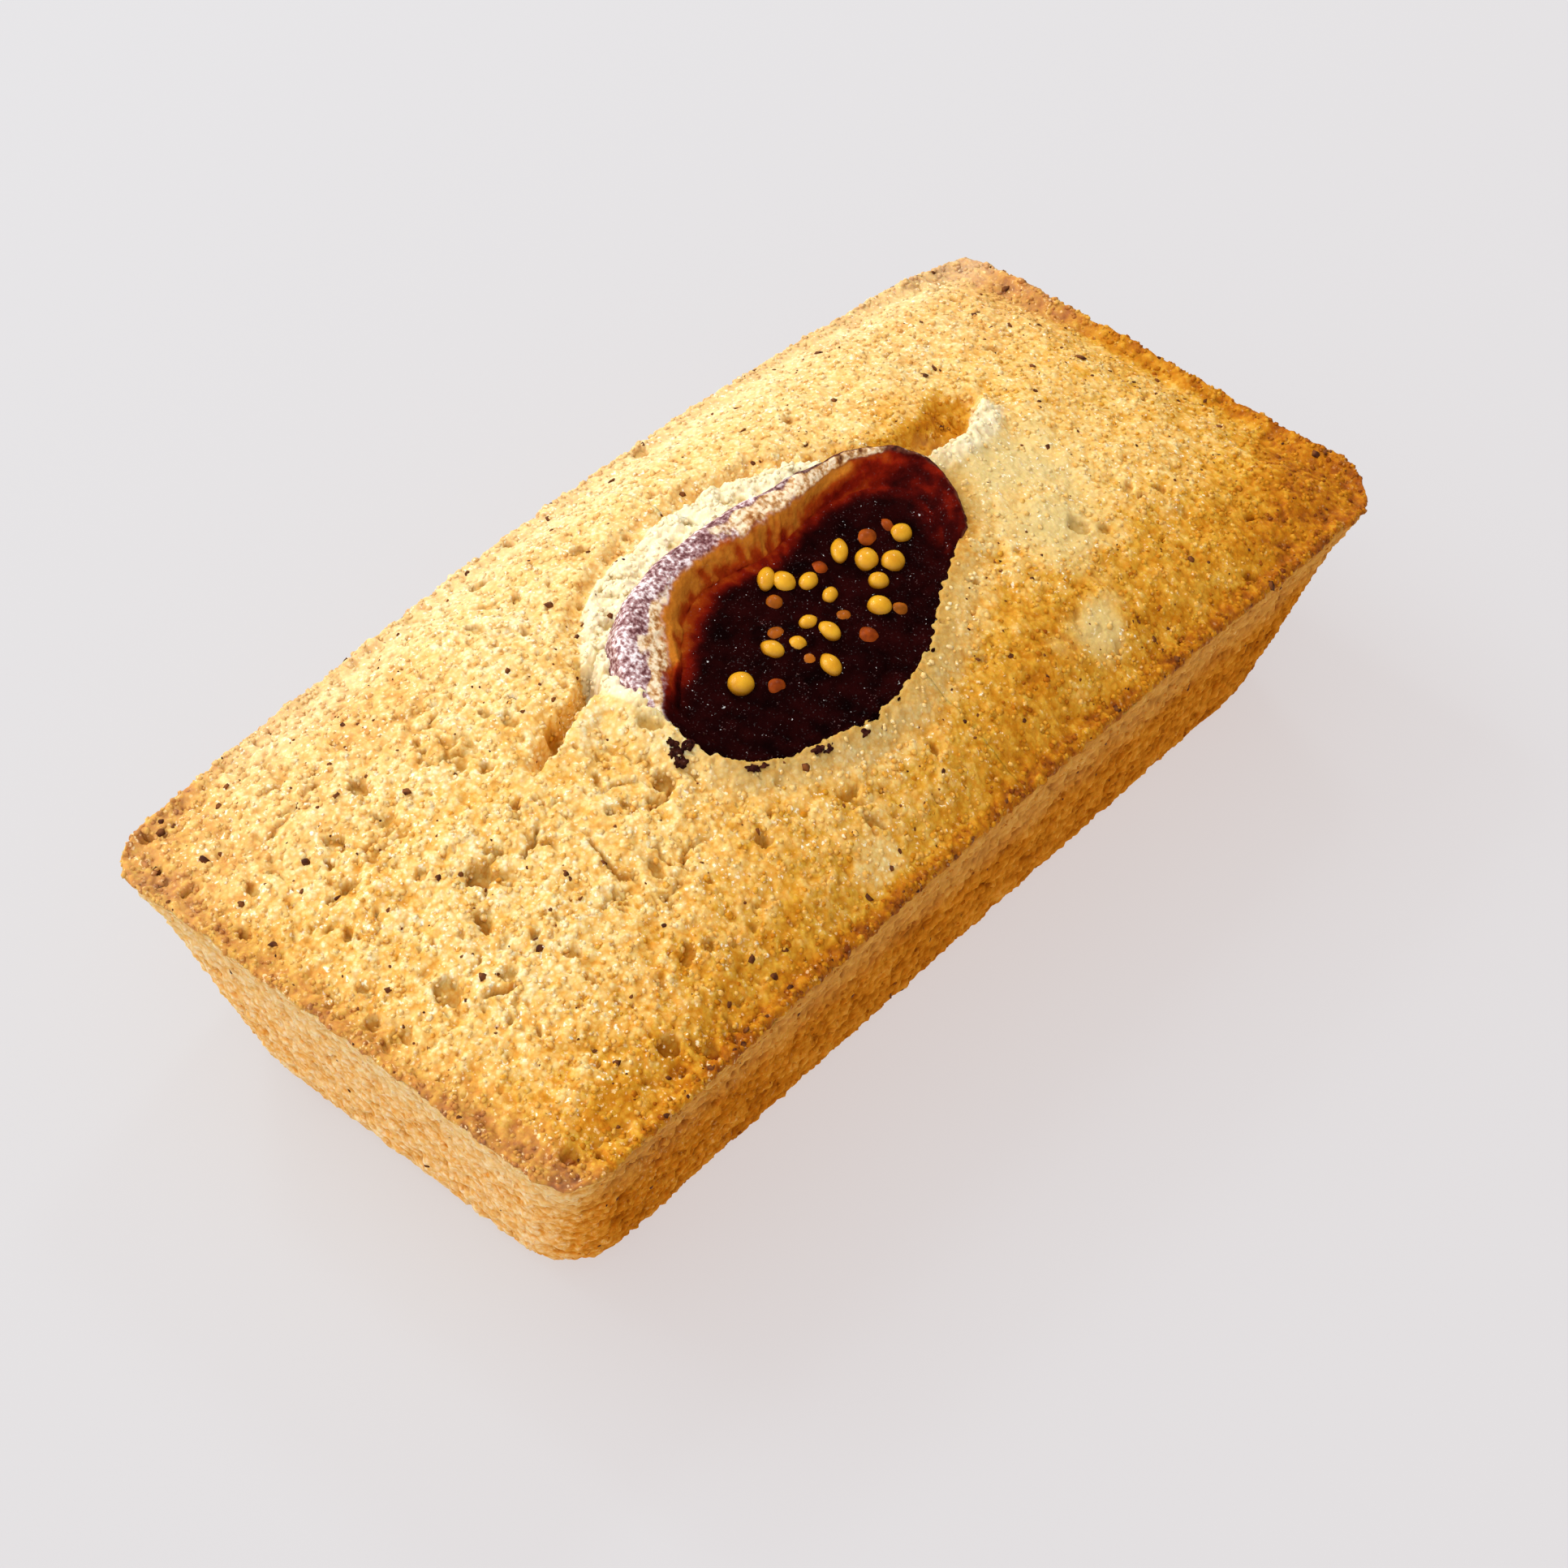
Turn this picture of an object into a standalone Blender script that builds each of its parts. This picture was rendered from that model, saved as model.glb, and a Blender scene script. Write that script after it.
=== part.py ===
# Financier cake with half a fig baked into its top.
# X runs along the cake, Y across it and Z up; the origin is the middle of the base.
import math

import bmesh
import bpy
from mathutils import Matrix, Vector, noise

MM = 0.001

# The cake's block, in millimetres.
RIM_LENGTH = 85.0
RIM_WIDTH = 38.0
BASE_LENGTH = 76.0
BASE_WIDTH = 32.4
RIM_HEIGHT = 15.5
BASE_ROUND = 2.4
FRONT_BOW = 1.4
BACK_BOW = 2.7
BOW_POWER = 1.5
END_BOW = 0.2
DOME = 4.5
DOME_POWER = 2.5

# How far the walls are drawn in below the rim, and how far down that is deepest.
WALL_HOLLOW = 0.55
HOLLOW_PLACE = 0.2

# Corner radii at the rim and at the base, by the signs of X and Y.
RIM_CORNERS = {(-1, -1): 3.5, (1, -1): 4.4, (1, 1): 2.6, (-1, 1): 5.2}
BASE_CORNERS = {(-1, -1): 4.5, (1, -1): 8.0, (1, 1): 7.0, (-1, 1): 11.0}

# How far the rim stands up or dips at the same corners.
CORNER_LIFTS = {(-1, -1): 0.0, (1, -1): 0.6, (1, 1): -0.3, (-1, 1): -0.2}
CORNER_REACH = 12.0

# How finely the block is divided.
CELLS_LONG = 74
CELLS_ACROSS = 34
WALL_RINGS = 5
ROUND_RINGS = 3

# A shallow trough inside the rim, deepest at the +X end where the crust stands up.
TROUGH = 0.3
TROUGH_PLACE = 1.4
TROUGH_WIDTH = 4.0
END_TROUGH = 1.3
END_TROUGH_PLACE = 2.4
END_TROUGH_WIDTH = 7.0

# Unevenness of the crumb, of the rim and of the walls.
CRUMB_SIZE = 5.0
CRUMB_HEIGHT = 0.28
RIM_UNEVEN = 0.15
WALL_UNEVEN = 0.16

# Pits in the top: place along and across, radius, depth.
PITS = (
    (-29.6, 9.8, 1.4, 1.1),
    (-30.0, -0.4, 1.5, 1.4),
    (-36.8, -4.2, 1.5, 0.8),
    (-32.2, -2.8, 1.2, 0.8),
    (-18.1, -4.4, 1.3, 1.0),
    (-30.7, -16.0, 1.3, 0.8),
    (19.2, -8.2, 1.4, 0.7),
    (-37.6, 3.0, 1.2, 0.8),
)

# Cracks that run from the fig's two ends: the path, then depth, the widths of
# the steep and the sloping side, and the height of the lip on the steep side.
LEFT_CRACK = ((-22.6, 2.0), (-20.0, 2.6), (-17.5, 2.9), (-14.6, 3.6))
RIGHT_CRACK = ((14.4, 3.0), (17.5, 2.9), (20.5, 3.5), (23.0, 4.4), (25.6, 5.0))
CRACK_DEPTH = 1.6
STEEP_SIDE = 1.4
SLOPING_SIDE = 3.0
LIP_HEIGHT = 0.6
LIP_WIDTH = 3.2

# Torn crumb round the back of the fig, lower than the crust, and the batter
# that stands a little above the fig's front edge.
TORN_DEPTH = 0.9
TORN_WIDTH = 2.6
LAP_HEIGHT = 0.35
LAP_WIDTH = 2.4

# The fig half, seen from above, and its levels.
FIG_OUTLINE = (
    (15.2, 1.4),
    (12.6, 4.7),
    (7.2, 6.4),
    (-2.5, 7.6),
    (-9.8, 6.6),
    (-14.6, 3.2),
    (-15.5, -1.8),
    (-12.9, -7.2),
    (-5.2, -10.3),
    (1.8, -9.3),
    (7.6, -6.3),
    (13.0, -3.3),
)
FIG_CENTRE = (-0.4, -1.0)
FIG_BOTTOM = 13.8
FIG_WAIST = 20.9
FLESH_LEVEL = 21.5
FLESH_TILT = 0.045
SKIN_RISE = 1.9
SKIN_INSET = 1.0
ROLL_INSET = 2.7
WALL_FOOT_INSET = 4.0
FIG_SEGMENTS = 60
WRINKLE = 0.16
GAP = 0.3
CUTTER_TOP = 30.0

# The fig's hidden underside: share of the outline and height over its lowest point.
FIG_BELLY = ((0.40, 0.25), (0.68, 1.15), (0.88, 2.9), (0.98, 5.2))

# Rings across the flesh, as shares of the way out to the foot of the rolled skin.
FLESH_RINGS = (1.0, 0.7, 0.42, 0.16)

# Seeds on the flesh: place along and across, half length, half width, turn in degrees.
SEEDS = (
    (-9.1, -2.8, 0.95, 0.85, 20),
    (-5.5, -2.3, 0.85, 0.65, 95),
    (-4.0, -3.1, 0.65, 0.60, 30),
    (-1.9, -2.3, 0.70, 0.55, -10),
    (-1.6, -3.7, 0.90, 0.65, 80),
    (-3.8, -5.6, 1.00, 0.65, 65),
    (2.5, -4.5, 0.90, 0.80, 60),
    (1.0, -1.7, 0.75, 0.50, 25),
    (0.9, 0.0, 0.90, 0.60, 15),
    (-0.3, 1.1, 0.95, 0.80, 60),
    (-0.9, 2.0, 1.10, 0.60, 35),
    (4.5, 0.4, 1.15, 0.58, 40),
    (5.2, -1.3, 1.05, 0.78, 35),
    (6.3, -2.6, 0.98, 0.78, 20),
    (4.2, -3.1, 0.72, 0.68, 10),
    (8.8, -1.3, 0.88, 0.72, 15),
    (0.0, -5.6, 0.80, 0.65, 70),
    (6.9, 0.0, 0.85, 0.70, 15),
    (-7.6, -4.4, 0.70, 0.60, 0),
    (-2.0, 0.4, 0.70, 0.60, 40),
)
SEED_SUNK = 0.35
SEED_FLATNESS = 0.85
SEED_AROUND = 6
SEED_LEVELS = 4

CRUST_COLOUR = (0.78, 0.50, 0.20, 1.0)
CRUST_ROUGHNESS = 0.8
FIG_COLOUR = (0.12, 0.03, 0.03, 1.0)
FIG_ROUGHNESS = 0.3
SHARP_ANGLE = 50.0


def smooth(low, high, value):
    """0 below low, 1 above high, and a smooth rise between them."""
    share = min(max((value - low) / (high - low), 0.0), 1.0)
    return share * share * (3.0 - 2.0 * share)


def uneven(x, y, z, size):
    """Smooth noise of about -1 to 1 with bumps of the given size."""
    return noise.noise(Vector((x, y, z)) / size)


def on_path(x, y, path):
    """Distance to a path, the side it lies on, and the share of the path before it."""
    best = (1e9, 0.0, 0.0)
    total = len(path) - 1
    for index in range(total):
        start = Vector(path[index])
        along = Vector(path[index + 1]) - start
        arm = Vector((x, y)) - start
        share = min(max(arm.dot(along) / along.length_squared, 0.0), 1.0)
        off = arm - along * share
        if off.length < best[0]:
            side = 1.0 if along.cross(off) > 0 else -1.0
            best = (off.length, side, (index + share) / total)
    return best


def crack(x, y, path, closed_end):
    """Height change from a crack whose far end runs out into the crust."""
    distance, side, share = on_path(x, y, path)
    opened = smooth(0.0, 0.35, abs(share - closed_end))
    if side > 0:
        return -CRACK_DEPTH * opened * (1.0 - smooth(0.0, SLOPING_SIDE, distance))
    risen = smooth(0.0, STEEP_SIDE, distance)
    lip = risen * (1.0 - smooth(STEEP_SIDE, LIP_WIDTH, distance))
    return opened * (LIP_HEIGHT * lip - CRACK_DEPTH * (1.0 - risen))


def closed_curve(points, place):
    """A point on the smooth closed curve through the points; place runs from 0 to 1."""
    count = len(points)
    position = (place % 1.0) * count
    index = int(position)
    t = position - index
    four = [Vector(points[(index + step) % count]) for step in (-1, 0, 1, 2)]
    straight = (four[2] - four[0]) * t
    bend = (four[0] * 2.0 - four[1] * 5.0 + four[2] * 4.0 - four[3]) * t * t
    twist = (four[1] * 3.0 - four[0] - four[2] * 3.0 + four[3]) * t * t * t
    return (four[1] * 2.0 + straight + bend + twist) * 0.5


def fig_reach():
    """The fig's outline as angle and distance from its centre, in order of angle."""
    centre = Vector(FIG_CENTRE)
    reach = []
    for degree in range(360):
        arm = closed_curve(FIG_OUTLINE, degree / 360) - centre
        reach.append((math.atan2(arm.y, arm.x) % math.tau, arm.length))
    reach.sort()
    return reach


FIG_REACH = fig_reach()


def fig_radius(angle):
    """Distance from the fig's centre to its outline at an angle."""
    angle = angle % math.tau
    below = (FIG_REACH[-1][0] - math.tau, FIG_REACH[-1][1])
    for entry in FIG_REACH:
        if entry[0] >= angle:
            share = (angle - below[0]) / max(entry[0] - below[0], 1e-9)
            return below[1] + share * (entry[1] - below[1])
        below = entry
    return FIG_REACH[0][1]


def raised_skin(angle):
    """1 along the back of the fig, where its skin stands up, and 0 along its front."""
    degrees = math.degrees(angle) % 360.0
    if degrees > 270.0:
        degrees -= 360.0
    return smooth(-35.0, 50.0, degrees) * (1.0 - smooth(150.0, 202.0, degrees))


def round_fig(x, y):
    """Height change in the cake round the fig: torn behind it, lapping at its front."""
    arm = Vector((x, y)) - Vector(FIG_CENTRE)
    angle = math.atan2(arm.y, arm.x)
    outside = arm.length - fig_radius(angle)
    back = raised_skin(angle)
    width = TORN_WIDTH * back + 0.5 * uneven(x, y, 3.0, 2.5)
    torn = back * (1.0 - smooth(width - 0.8, width, outside))
    lap = (1.0 - back) * (1.0 - smooth(0.3, LAP_WIDTH, outside))
    return LAP_HEIGHT * lap - TORN_DEPTH * torn


def trough(depth, place, width, edge):
    """A dip of the given depth whose deepest line lies at a place in from the edge."""
    return -depth * smooth(0.0, place, edge) * (1.0 - smooth(place, width, edge))


def top_height(x, y):
    """Height of the cake's top, without the fig's pocket."""
    half_x = RIM_LENGTH / 2
    half_y = RIM_WIDTH / 2
    along = min(abs(x) / half_x, 1.0)
    across = min(abs(y) / half_y, 1.0)
    back = 0.5 + 0.5 * y / half_y
    bow = (FRONT_BOW + (BACK_BOW - FRONT_BOW) * back) * (1.0 - along**2) ** BOW_POWER
    bow += END_BOW * (1.0 - across**2) * along**4
    height = RIM_HEIGHT + bow
    height += DOME * (1.0 - along**DOME_POWER) * (1.0 - across**DOME_POWER)
    from_corner = math.hypot(half_x - abs(x), half_y - abs(y))
    height += CORNER_LIFTS[corner_of(x, y)] * (1.0 - smooth(0.0, CORNER_REACH, from_corner))
    edge = min(half_x - abs(x), half_y - abs(y))
    height += trough(TROUGH, TROUGH_PLACE, TROUGH_WIDTH, edge)
    height += trough(END_TROUGH, END_TROUGH_PLACE, END_TROUGH_WIDTH, half_x - x)
    height += RIM_UNEVEN * uneven(x, y, 20.0, 4.0)
    crumb = uneven(x, y, 0.0, CRUMB_SIZE) + 0.4 * uneven(x, y, 9.0, CRUMB_SIZE / 2.6)
    height += CRUMB_HEIGHT * crumb * smooth(0.0, 4.0, edge)
    height += crack(x, y, LEFT_CRACK, 0.0)
    height += crack(x, y, RIGHT_CRACK, 1.0)
    height += round_fig(x, y)
    for pit_x, pit_y, radius, depth in PITS:
        off = math.hypot(x - pit_x, y - pit_y) / radius
        height -= depth * (1.0 - smooth(0.35, 1.15, off))
    return height


def rounded_place(u, v, half_x, half_y, corner):
    """A place on the unit square moved into an outline with round corners."""
    x = u * half_x
    y = v * half_y
    start_x = half_x - corner
    start_y = half_y - corner
    if abs(x) > start_x and abs(y) > start_y:
        a = (abs(x) - start_x) / corner
        b = (abs(y) - start_y) / corner
        x = math.copysign(start_x + corner * a * math.sqrt(1.0 - b * b / 2.0), u)
        y = math.copysign(start_y + corner * b * math.sqrt(1.0 - a * a / 2.0), v)
    return x, y


def corner_of(u, v):
    """Which of the four corners a place on the unit square belongs to."""
    return (1 if u > 0 else -1, 1 if v > 0 else -1)


def wall_rings():
    """Height share and extra inset of each ring from the rim down to the base."""
    rings = []
    for step in range(1, WALL_RINGS + 1):
        height = 1.0 - step / WALL_RINGS * (1.0 - BASE_ROUND / RIM_HEIGHT)
        rings.append((height, 0.0))
    for step in range(1, ROUND_RINGS + 1):
        turn = math.radians(90.0 * step / ROUND_RINGS)
        height = BASE_ROUND / RIM_HEIGHT * (1.0 - math.sin(turn))
        rings.append((height, BASE_ROUND * (1.0 - math.cos(turn))))
    return rings


def wall_place(u, v, rim_height, height, inset):
    """Where a ring's point lies below the rim; height is 1 at the rim and 0 at the base."""
    inset += WALL_HOLLOW * height * smooth(0.0, HOLLOW_PLACE, 1.0 - height)
    half_x = (BASE_LENGTH + (RIM_LENGTH - BASE_LENGTH) * height) / 2 - inset
    half_y = (BASE_WIDTH + (RIM_WIDTH - BASE_WIDTH) * height) / 2 - inset
    spot = corner_of(u, v)
    corner = BASE_CORNERS[spot] + (RIM_CORNERS[spot] - BASE_CORNERS[spot]) * height - inset
    x, y = rounded_place(u, v, half_x, half_y, corner)
    belly = 4.0 * height * (1.0 - height)
    push = 1.0 + belly * WALL_UNEVEN * uneven(x, y, rim_height * height, 7.0) / math.hypot(x, y)
    return Vector((x * push, y * push, rim_height * height))


def new_object(name, shape, colour, roughness):
    """Turns a bmesh in millimetres into an object in metres with its own material."""
    bmesh.ops.scale(shape, vec=(MM, MM, MM), verts=shape.verts)
    bmesh.ops.recalc_face_normals(shape, faces=shape.faces)
    mesh = bpy.data.meshes.new(name)
    shape.to_mesh(mesh)
    shape.free()
    mesh.shade_smooth()
    mesh.set_sharp_from_angle(angle=math.radians(SHARP_ANGLE))
    item = bpy.data.objects.new(name, mesh)
    bpy.context.scene.collection.objects.link(item)
    material = bpy.data.materials.new(name)
    material.use_nodes = True
    surface = material.node_tree.nodes["Principled BSDF"]
    surface.inputs["Base Color"].default_value = colour
    surface.inputs["Roughness"].default_value = roughness
    surface.inputs["Metallic"].default_value = 0.0
    mesh.materials.append(material)
    return item


def draw_down(shape, edge, places):
    """Extrudes an open edge; places gives each vertex its u, v and rim height."""
    drawn = bmesh.ops.extrude_edge_only(shape, edges=edge)["geom"]
    lower = [item for item in drawn if isinstance(item, bmesh.types.BMEdge) and item.is_boundary]
    fresh = {vert for item in lower for vert in item.verts}
    moved = {}
    for vert in fresh:
        for item in vert.link_edges:
            upper = item.other_vert(vert)
            if upper in places:
                moved[vert] = places[upper]
    return lower, moved


def make_cake():
    """The block: a grid raised into the top, its edge drawn down to a flat base."""
    shape = bmesh.new()
    bmesh.ops.create_grid(shape, x_segments=CELLS_LONG, y_segments=CELLS_ACROSS, size=1.0)
    places = {}
    for vert in shape.verts:
        u, v = vert.co.x, vert.co.y
        corner = RIM_CORNERS[corner_of(u, v)]
        x, y = rounded_place(u, v, RIM_LENGTH / 2, RIM_WIDTH / 2, corner)
        vert.co = (x, y, top_height(x, y))
        if vert.is_boundary:
            places[vert] = (u, v, vert.co.z)
    edge = [item for item in shape.edges if item.is_boundary]
    for height, inset in wall_rings():
        edge, places = draw_down(shape, edge, places)
        for vert, (u, v, rim_height) in places.items():
            vert.co = wall_place(u, v, rim_height, height, inset)
    bmesh.ops.contextual_create(shape, geom=edge)
    return new_object("cake", shape, CRUST_COLOUR, CRUST_ROUGHNESS)


def fig_place(angle, share, inset):
    """Where the fig's point at an angle lies in plan: a share of its radius, drawn in."""
    radius = fig_radius(angle) * share - inset
    return (FIG_CENTRE[0] + radius * math.cos(angle), FIG_CENTRE[1] + radius * math.sin(angle))


def flesh_height(x, y):
    """The cut face, lower at the front and lumpy."""
    return FLESH_LEVEL + FLESH_TILT * y + 0.2 * uneven(x, y, 4.0, 2.2)


def fig_section(angle, grow):
    """The fig's points at one angle, from under its belly to the middle of the flesh."""
    points = []
    for share, lift in FIG_BELLY:
        points.append((*fig_place(angle, share, -grow), FIG_BOTTOM + lift - grow))
    points.append((*fig_place(angle, 1.0, -grow), FIG_WAIST))
    if grow:
        points.append((*fig_place(angle, 1.0, -grow), CUTTER_TOP))
        return points
    skin = raised_skin(angle)
    face = FLESH_LEVEL + FLESH_TILT * fig_place(angle, 1.0, 0.0)[1]
    crest = face + SKIN_RISE * skin
    half_way = 0.5 * (ROLL_INSET + WALL_FOOT_INSET)
    rolled = (
        (0.12 + 0.28 * skin, crest - 0.12 - 0.9 * skin),
        (0.35 + (SKIN_INSET - 0.35) * skin, crest),
        (0.60 + (ROLL_INSET - 1.5) * skin, crest),
        (0.80 + (ROLL_INSET - 0.8) * skin, crest - 0.3 * skin),
        (1.00 + (half_way - 1.0) * skin, crest - 1.1 * skin),
    )
    for inset, level in rolled:
        points.append((*fig_place(angle, 1.0, inset), level))
    foot = 1.3 + (WALL_FOOT_INSET - 1.3) * skin
    for share in FLESH_RINGS:
        x, y = fig_place(angle, share, share * foot)
        points.append((x, y, flesh_height(x, y)))
    return points


def make_fig_body(name, grow):
    """Sections round the fig, bridged into a closed shape; a cutter when it is grown."""
    shape = bmesh.new()
    sections = [fig_section(math.tau * step / FIG_SEGMENTS, grow) for step in range(FIG_SEGMENTS)]
    loops = []
    for level in range(len(sections[0])):
        ring = [shape.verts.new(section[level]) for section in sections]
        loops.append([shape.edges.new((ring[step - 1], ring[step])) for step in range(FIG_SEGMENTS)])
    for lower, upper in zip(loops, loops[1:]):
        bmesh.ops.bridge_loops(shape, edges=lower + upper)
    bmesh.ops.contextual_create(shape, geom=loops[0])
    lid = bmesh.ops.contextual_create(shape, geom=loops[-1])["faces"]
    if not grow:
        bmesh.ops.poke(shape, faces=lid)
        for vert in shape.verts:
            shown = smooth(FIG_WAIST - 0.5, FIG_WAIST + 0.5, vert.co.z)
            vert.co.z += WRINKLE * shown * uneven(*vert.co, 2.4)
    return new_object(name, shape, FIG_COLOUR, FIG_ROUGHNESS)


def make_seeds(collection):
    """Small eggs half sunk in the flesh, in a collection of their own."""
    for number, (x, y, half_length, half_width, turn) in enumerate(SEEDS):
        shape = bmesh.new()
        bmesh.ops.create_uvsphere(shape, u_segments=SEED_AROUND, v_segments=SEED_LEVELS, radius=1.0)
        half_height = SEED_FLATNESS * half_width
        bmesh.ops.scale(shape, vec=(half_length, half_width, half_height), verts=shape.verts)
        rotation = Matrix.Rotation(math.radians(turn), 3, "Z")
        bmesh.ops.rotate(shape, verts=shape.verts, cent=(0, 0, 0), matrix=rotation)
        level = flesh_height(x, y) + SEED_SUNK * half_height
        bmesh.ops.translate(shape, vec=(x, y, level), verts=shape.verts)
        seed = new_object("seed_%02d" % number, shape, FIG_COLOUR, FIG_ROUGHNESS)
        bpy.context.scene.collection.objects.unlink(seed)
        collection.objects.link(seed)


def apply_modifiers(item):
    """Gives an object the mesh that its modifiers make, and drops them."""
    depsgraph = bpy.context.evaluated_depsgraph_get()
    mesh = bpy.data.meshes.new_from_object(item.evaluated_get(depsgraph))
    item.modifiers.clear()
    item.data = mesh


def join_seeds(fig):
    """Fuses the seeds to the fig in one union and removes them."""
    collection = bpy.data.collections.new("seeds")
    bpy.context.scene.collection.children.link(collection)
    make_seeds(collection)
    union = fig.modifiers.new("seeds", "BOOLEAN")
    union.operation = "UNION"
    union.operand_type = "COLLECTION"
    union.collection = collection
    union.solver = "EXACT"
    apply_modifiers(fig)
    for seed in list(collection.objects):
        bpy.data.objects.remove(seed, do_unlink=True)
    bpy.data.collections.remove(collection)


def cut_pocket(cake, cutter):
    """Opens the pocket in the cake that the fig sits in."""
    cutter.hide_render = True
    cutter.display_type = "WIRE"
    pocket = cake.modifiers.new("pocket", "BOOLEAN")
    pocket.operation = "DIFFERENCE"
    pocket.object = cutter
    pocket.solver = "EXACT"


def main():
    for item in list(bpy.data.objects):
        bpy.data.objects.remove(item, do_unlink=True)
    cake = make_cake()
    fig = make_fig_body("fig_half", 0.0)
    join_seeds(fig)
    cut_pocket(cake, make_fig_body("pocket_cutter", GAP))


main()
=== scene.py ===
import math

import bmesh
import bpy
import numpy as np
from mathutils import Matrix, Quaternion, Vector, noise


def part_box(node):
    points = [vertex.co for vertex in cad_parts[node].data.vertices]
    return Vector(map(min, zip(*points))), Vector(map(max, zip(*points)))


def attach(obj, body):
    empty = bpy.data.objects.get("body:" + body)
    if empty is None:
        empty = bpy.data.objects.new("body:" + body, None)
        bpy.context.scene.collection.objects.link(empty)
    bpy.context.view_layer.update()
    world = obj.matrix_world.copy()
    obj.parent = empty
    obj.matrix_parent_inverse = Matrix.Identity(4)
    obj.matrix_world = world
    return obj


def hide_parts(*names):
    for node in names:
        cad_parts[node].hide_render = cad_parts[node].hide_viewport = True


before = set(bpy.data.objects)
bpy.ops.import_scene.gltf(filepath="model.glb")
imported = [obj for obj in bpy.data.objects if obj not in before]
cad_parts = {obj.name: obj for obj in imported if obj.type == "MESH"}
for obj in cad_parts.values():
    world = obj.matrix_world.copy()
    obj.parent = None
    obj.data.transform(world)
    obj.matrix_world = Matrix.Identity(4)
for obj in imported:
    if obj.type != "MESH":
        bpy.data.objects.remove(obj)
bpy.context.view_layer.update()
mm = 0.001  # everything below counts in millimetres
lowCake, highCake = [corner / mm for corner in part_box("cake")]


# shader maths

class Shade:
    def __init__(self, paint, socket):
        self.paint = paint
        self.socket = socket

    def math(self, operation, first, second):
        return self.paint.node("ShaderNodeMath", {"operation": operation}, {0: first, 1: second})

    def __add__(self, other):
        return self.math("ADD", self, other)

    def __sub__(self, other):
        return self.math("SUBTRACT", self, other)

    def __mul__(self, other):
        return self.math("MULTIPLY", self, other)

    def __rsub__(self, other):
        return self.math("SUBTRACT", other, self)

    __radd__ = __add__
    __rmul__ = __mul__

    def between(self, low, high):  # 0 below low, 1 above high, smooth in the middle
        return self.paint.node("ShaderNodeMapRange", {"interpolation_type": "SMOOTHSTEP"},
                               {"Value": self, "From Min": low, "From Max": high})


class Graph:
    def __init__(self, tree):
        self.tree = tree

    def feed(self, socket, value):
        if isinstance(value, Shade):
            self.tree.links.new(value.socket, socket)
        else:
            socket.default_value = value

    def node(self, kind, settings=None, values=None, output=0):
        item = self.tree.nodes.new(kind)
        for key, setting in (settings or {}).items():
            if key == "stops":
                while len(item.color_ramp.elements) < len(setting):
                    item.color_ramp.elements.new(0.5)
                for element, (position, colour) in zip(item.color_ramp.elements, setting):
                    element.position = position
                    element.color = (*colour, 1.0)
            else:
                setattr(item, key, setting)
        for key, value in (values or {}).items():
            self.feed(item.inputs[key], value)
        return Shade(self, item.outputs[output])


class Paint(Graph):
    def __init__(self, name, roughness, **constants):
        self.material = bpy.data.materials.new(name)
        self.material.use_nodes = True
        super().__init__(self.material.node_tree)
        self.surface = self.tree.nodes["Principled BSDF"]
        self.surface.inputs["Roughness"].default_value = roughness
        for socketName, value in constants.items():
            self.surface.inputs[socketName.replace("_", " ")].default_value = value
        self.place = self.node("ShaderNodeTexCoord", output="Object")

    def grain(self, size, detail=2.0, seed=0.0):  # soft noise, about 0 to 1, lumps of that size in mm
        return self.node("ShaderNodeTexNoise", {"noise_dimensions": "4D"},
                         {"Vector": self.place, "W": seed, "Scale": 1.0 / (size * mm), "Detail": detail})

    def cells(self, size, output="Distance"):
        return self.node("ShaderNodeTexVoronoi", None,
                         {"Vector": self.place, "Scale": 1.0 / (size * mm)}, output=output)

    def stored(self, name):  # a value kept on the mesh's own points
        return self.node("ShaderNodeAttribute", {"attribute_name": name}, output="Fac")

    def ramp(self, factor, stops):
        return self.node("ShaderNodeValToRGB", {"stops": stops}, {"Fac": factor}, output="Color")

    def mix(self, factor, first, second, blend="MIX"):
        first, second = (value if isinstance(value, Shade) else (*value, 1.0) for value in (first, second))
        return self.node("ShaderNodeMix", {"data_type": "RGBA", "blend_type": blend},
                         {"Factor": factor, 6: first, 7: second}, output=2)

    def bump(self, height, strength, distance, before=None):
        values = {"Height": height, "Strength": strength, "Distance": distance * mm}
        if before is not None:
            values["Normal"] = before
        return self.node("ShaderNodeBump", None, values, output="Normal")

    def finish(self, **sockets):
        for socketName, value in sockets.items():
            self.feed(self.surface.inputs[socketName.replace("_", " ")], value)
        return self.material


# shape helpers

def softStep(low, high, value):
    share = np.clip((value - low) / (high - low), 0.0, 1.0)
    return share * share * (3.0 - 2.0 * share)


def lumps(x, y, z, size):  # smooth noise, about -1 to 1
    spots = np.stack([x, y, np.zeros_like(x) + z], axis=-1) / size
    return np.array([noise.noise(spot) for spot in spots.reshape(-1, 3).tolist()]).reshape(x.shape)


def layered(x, y, level, parts, total=0.0):  # lumps of several sizes on top of a total, one level apart
    for step, (amount, size) in enumerate(parts):
        total = total + amount * lumps(x, y, level + step, size)
    return total


def hump(x, y, spotX, spotY, spanX, spanY):  # 1 on the spot, fading away from it
    return np.exp(-(((x - spotX) / spanX) ** 2) - (((y - spotY) / spanY) ** 2))


def cellGaps(x, y, z, size):  # distance to the nearest grain's middle, and to the gap beside it
    spots = np.stack([x, y, np.zeros_like(x) + z], axis=-1) / size
    near = np.array([noise.voronoi(spot)[0][:2] for spot in spots.reshape(-1, 3).tolist()])
    return near[:, 0].reshape(x.shape), (near[:, 1] - near[:, 0]).reshape(x.shape)


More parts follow.
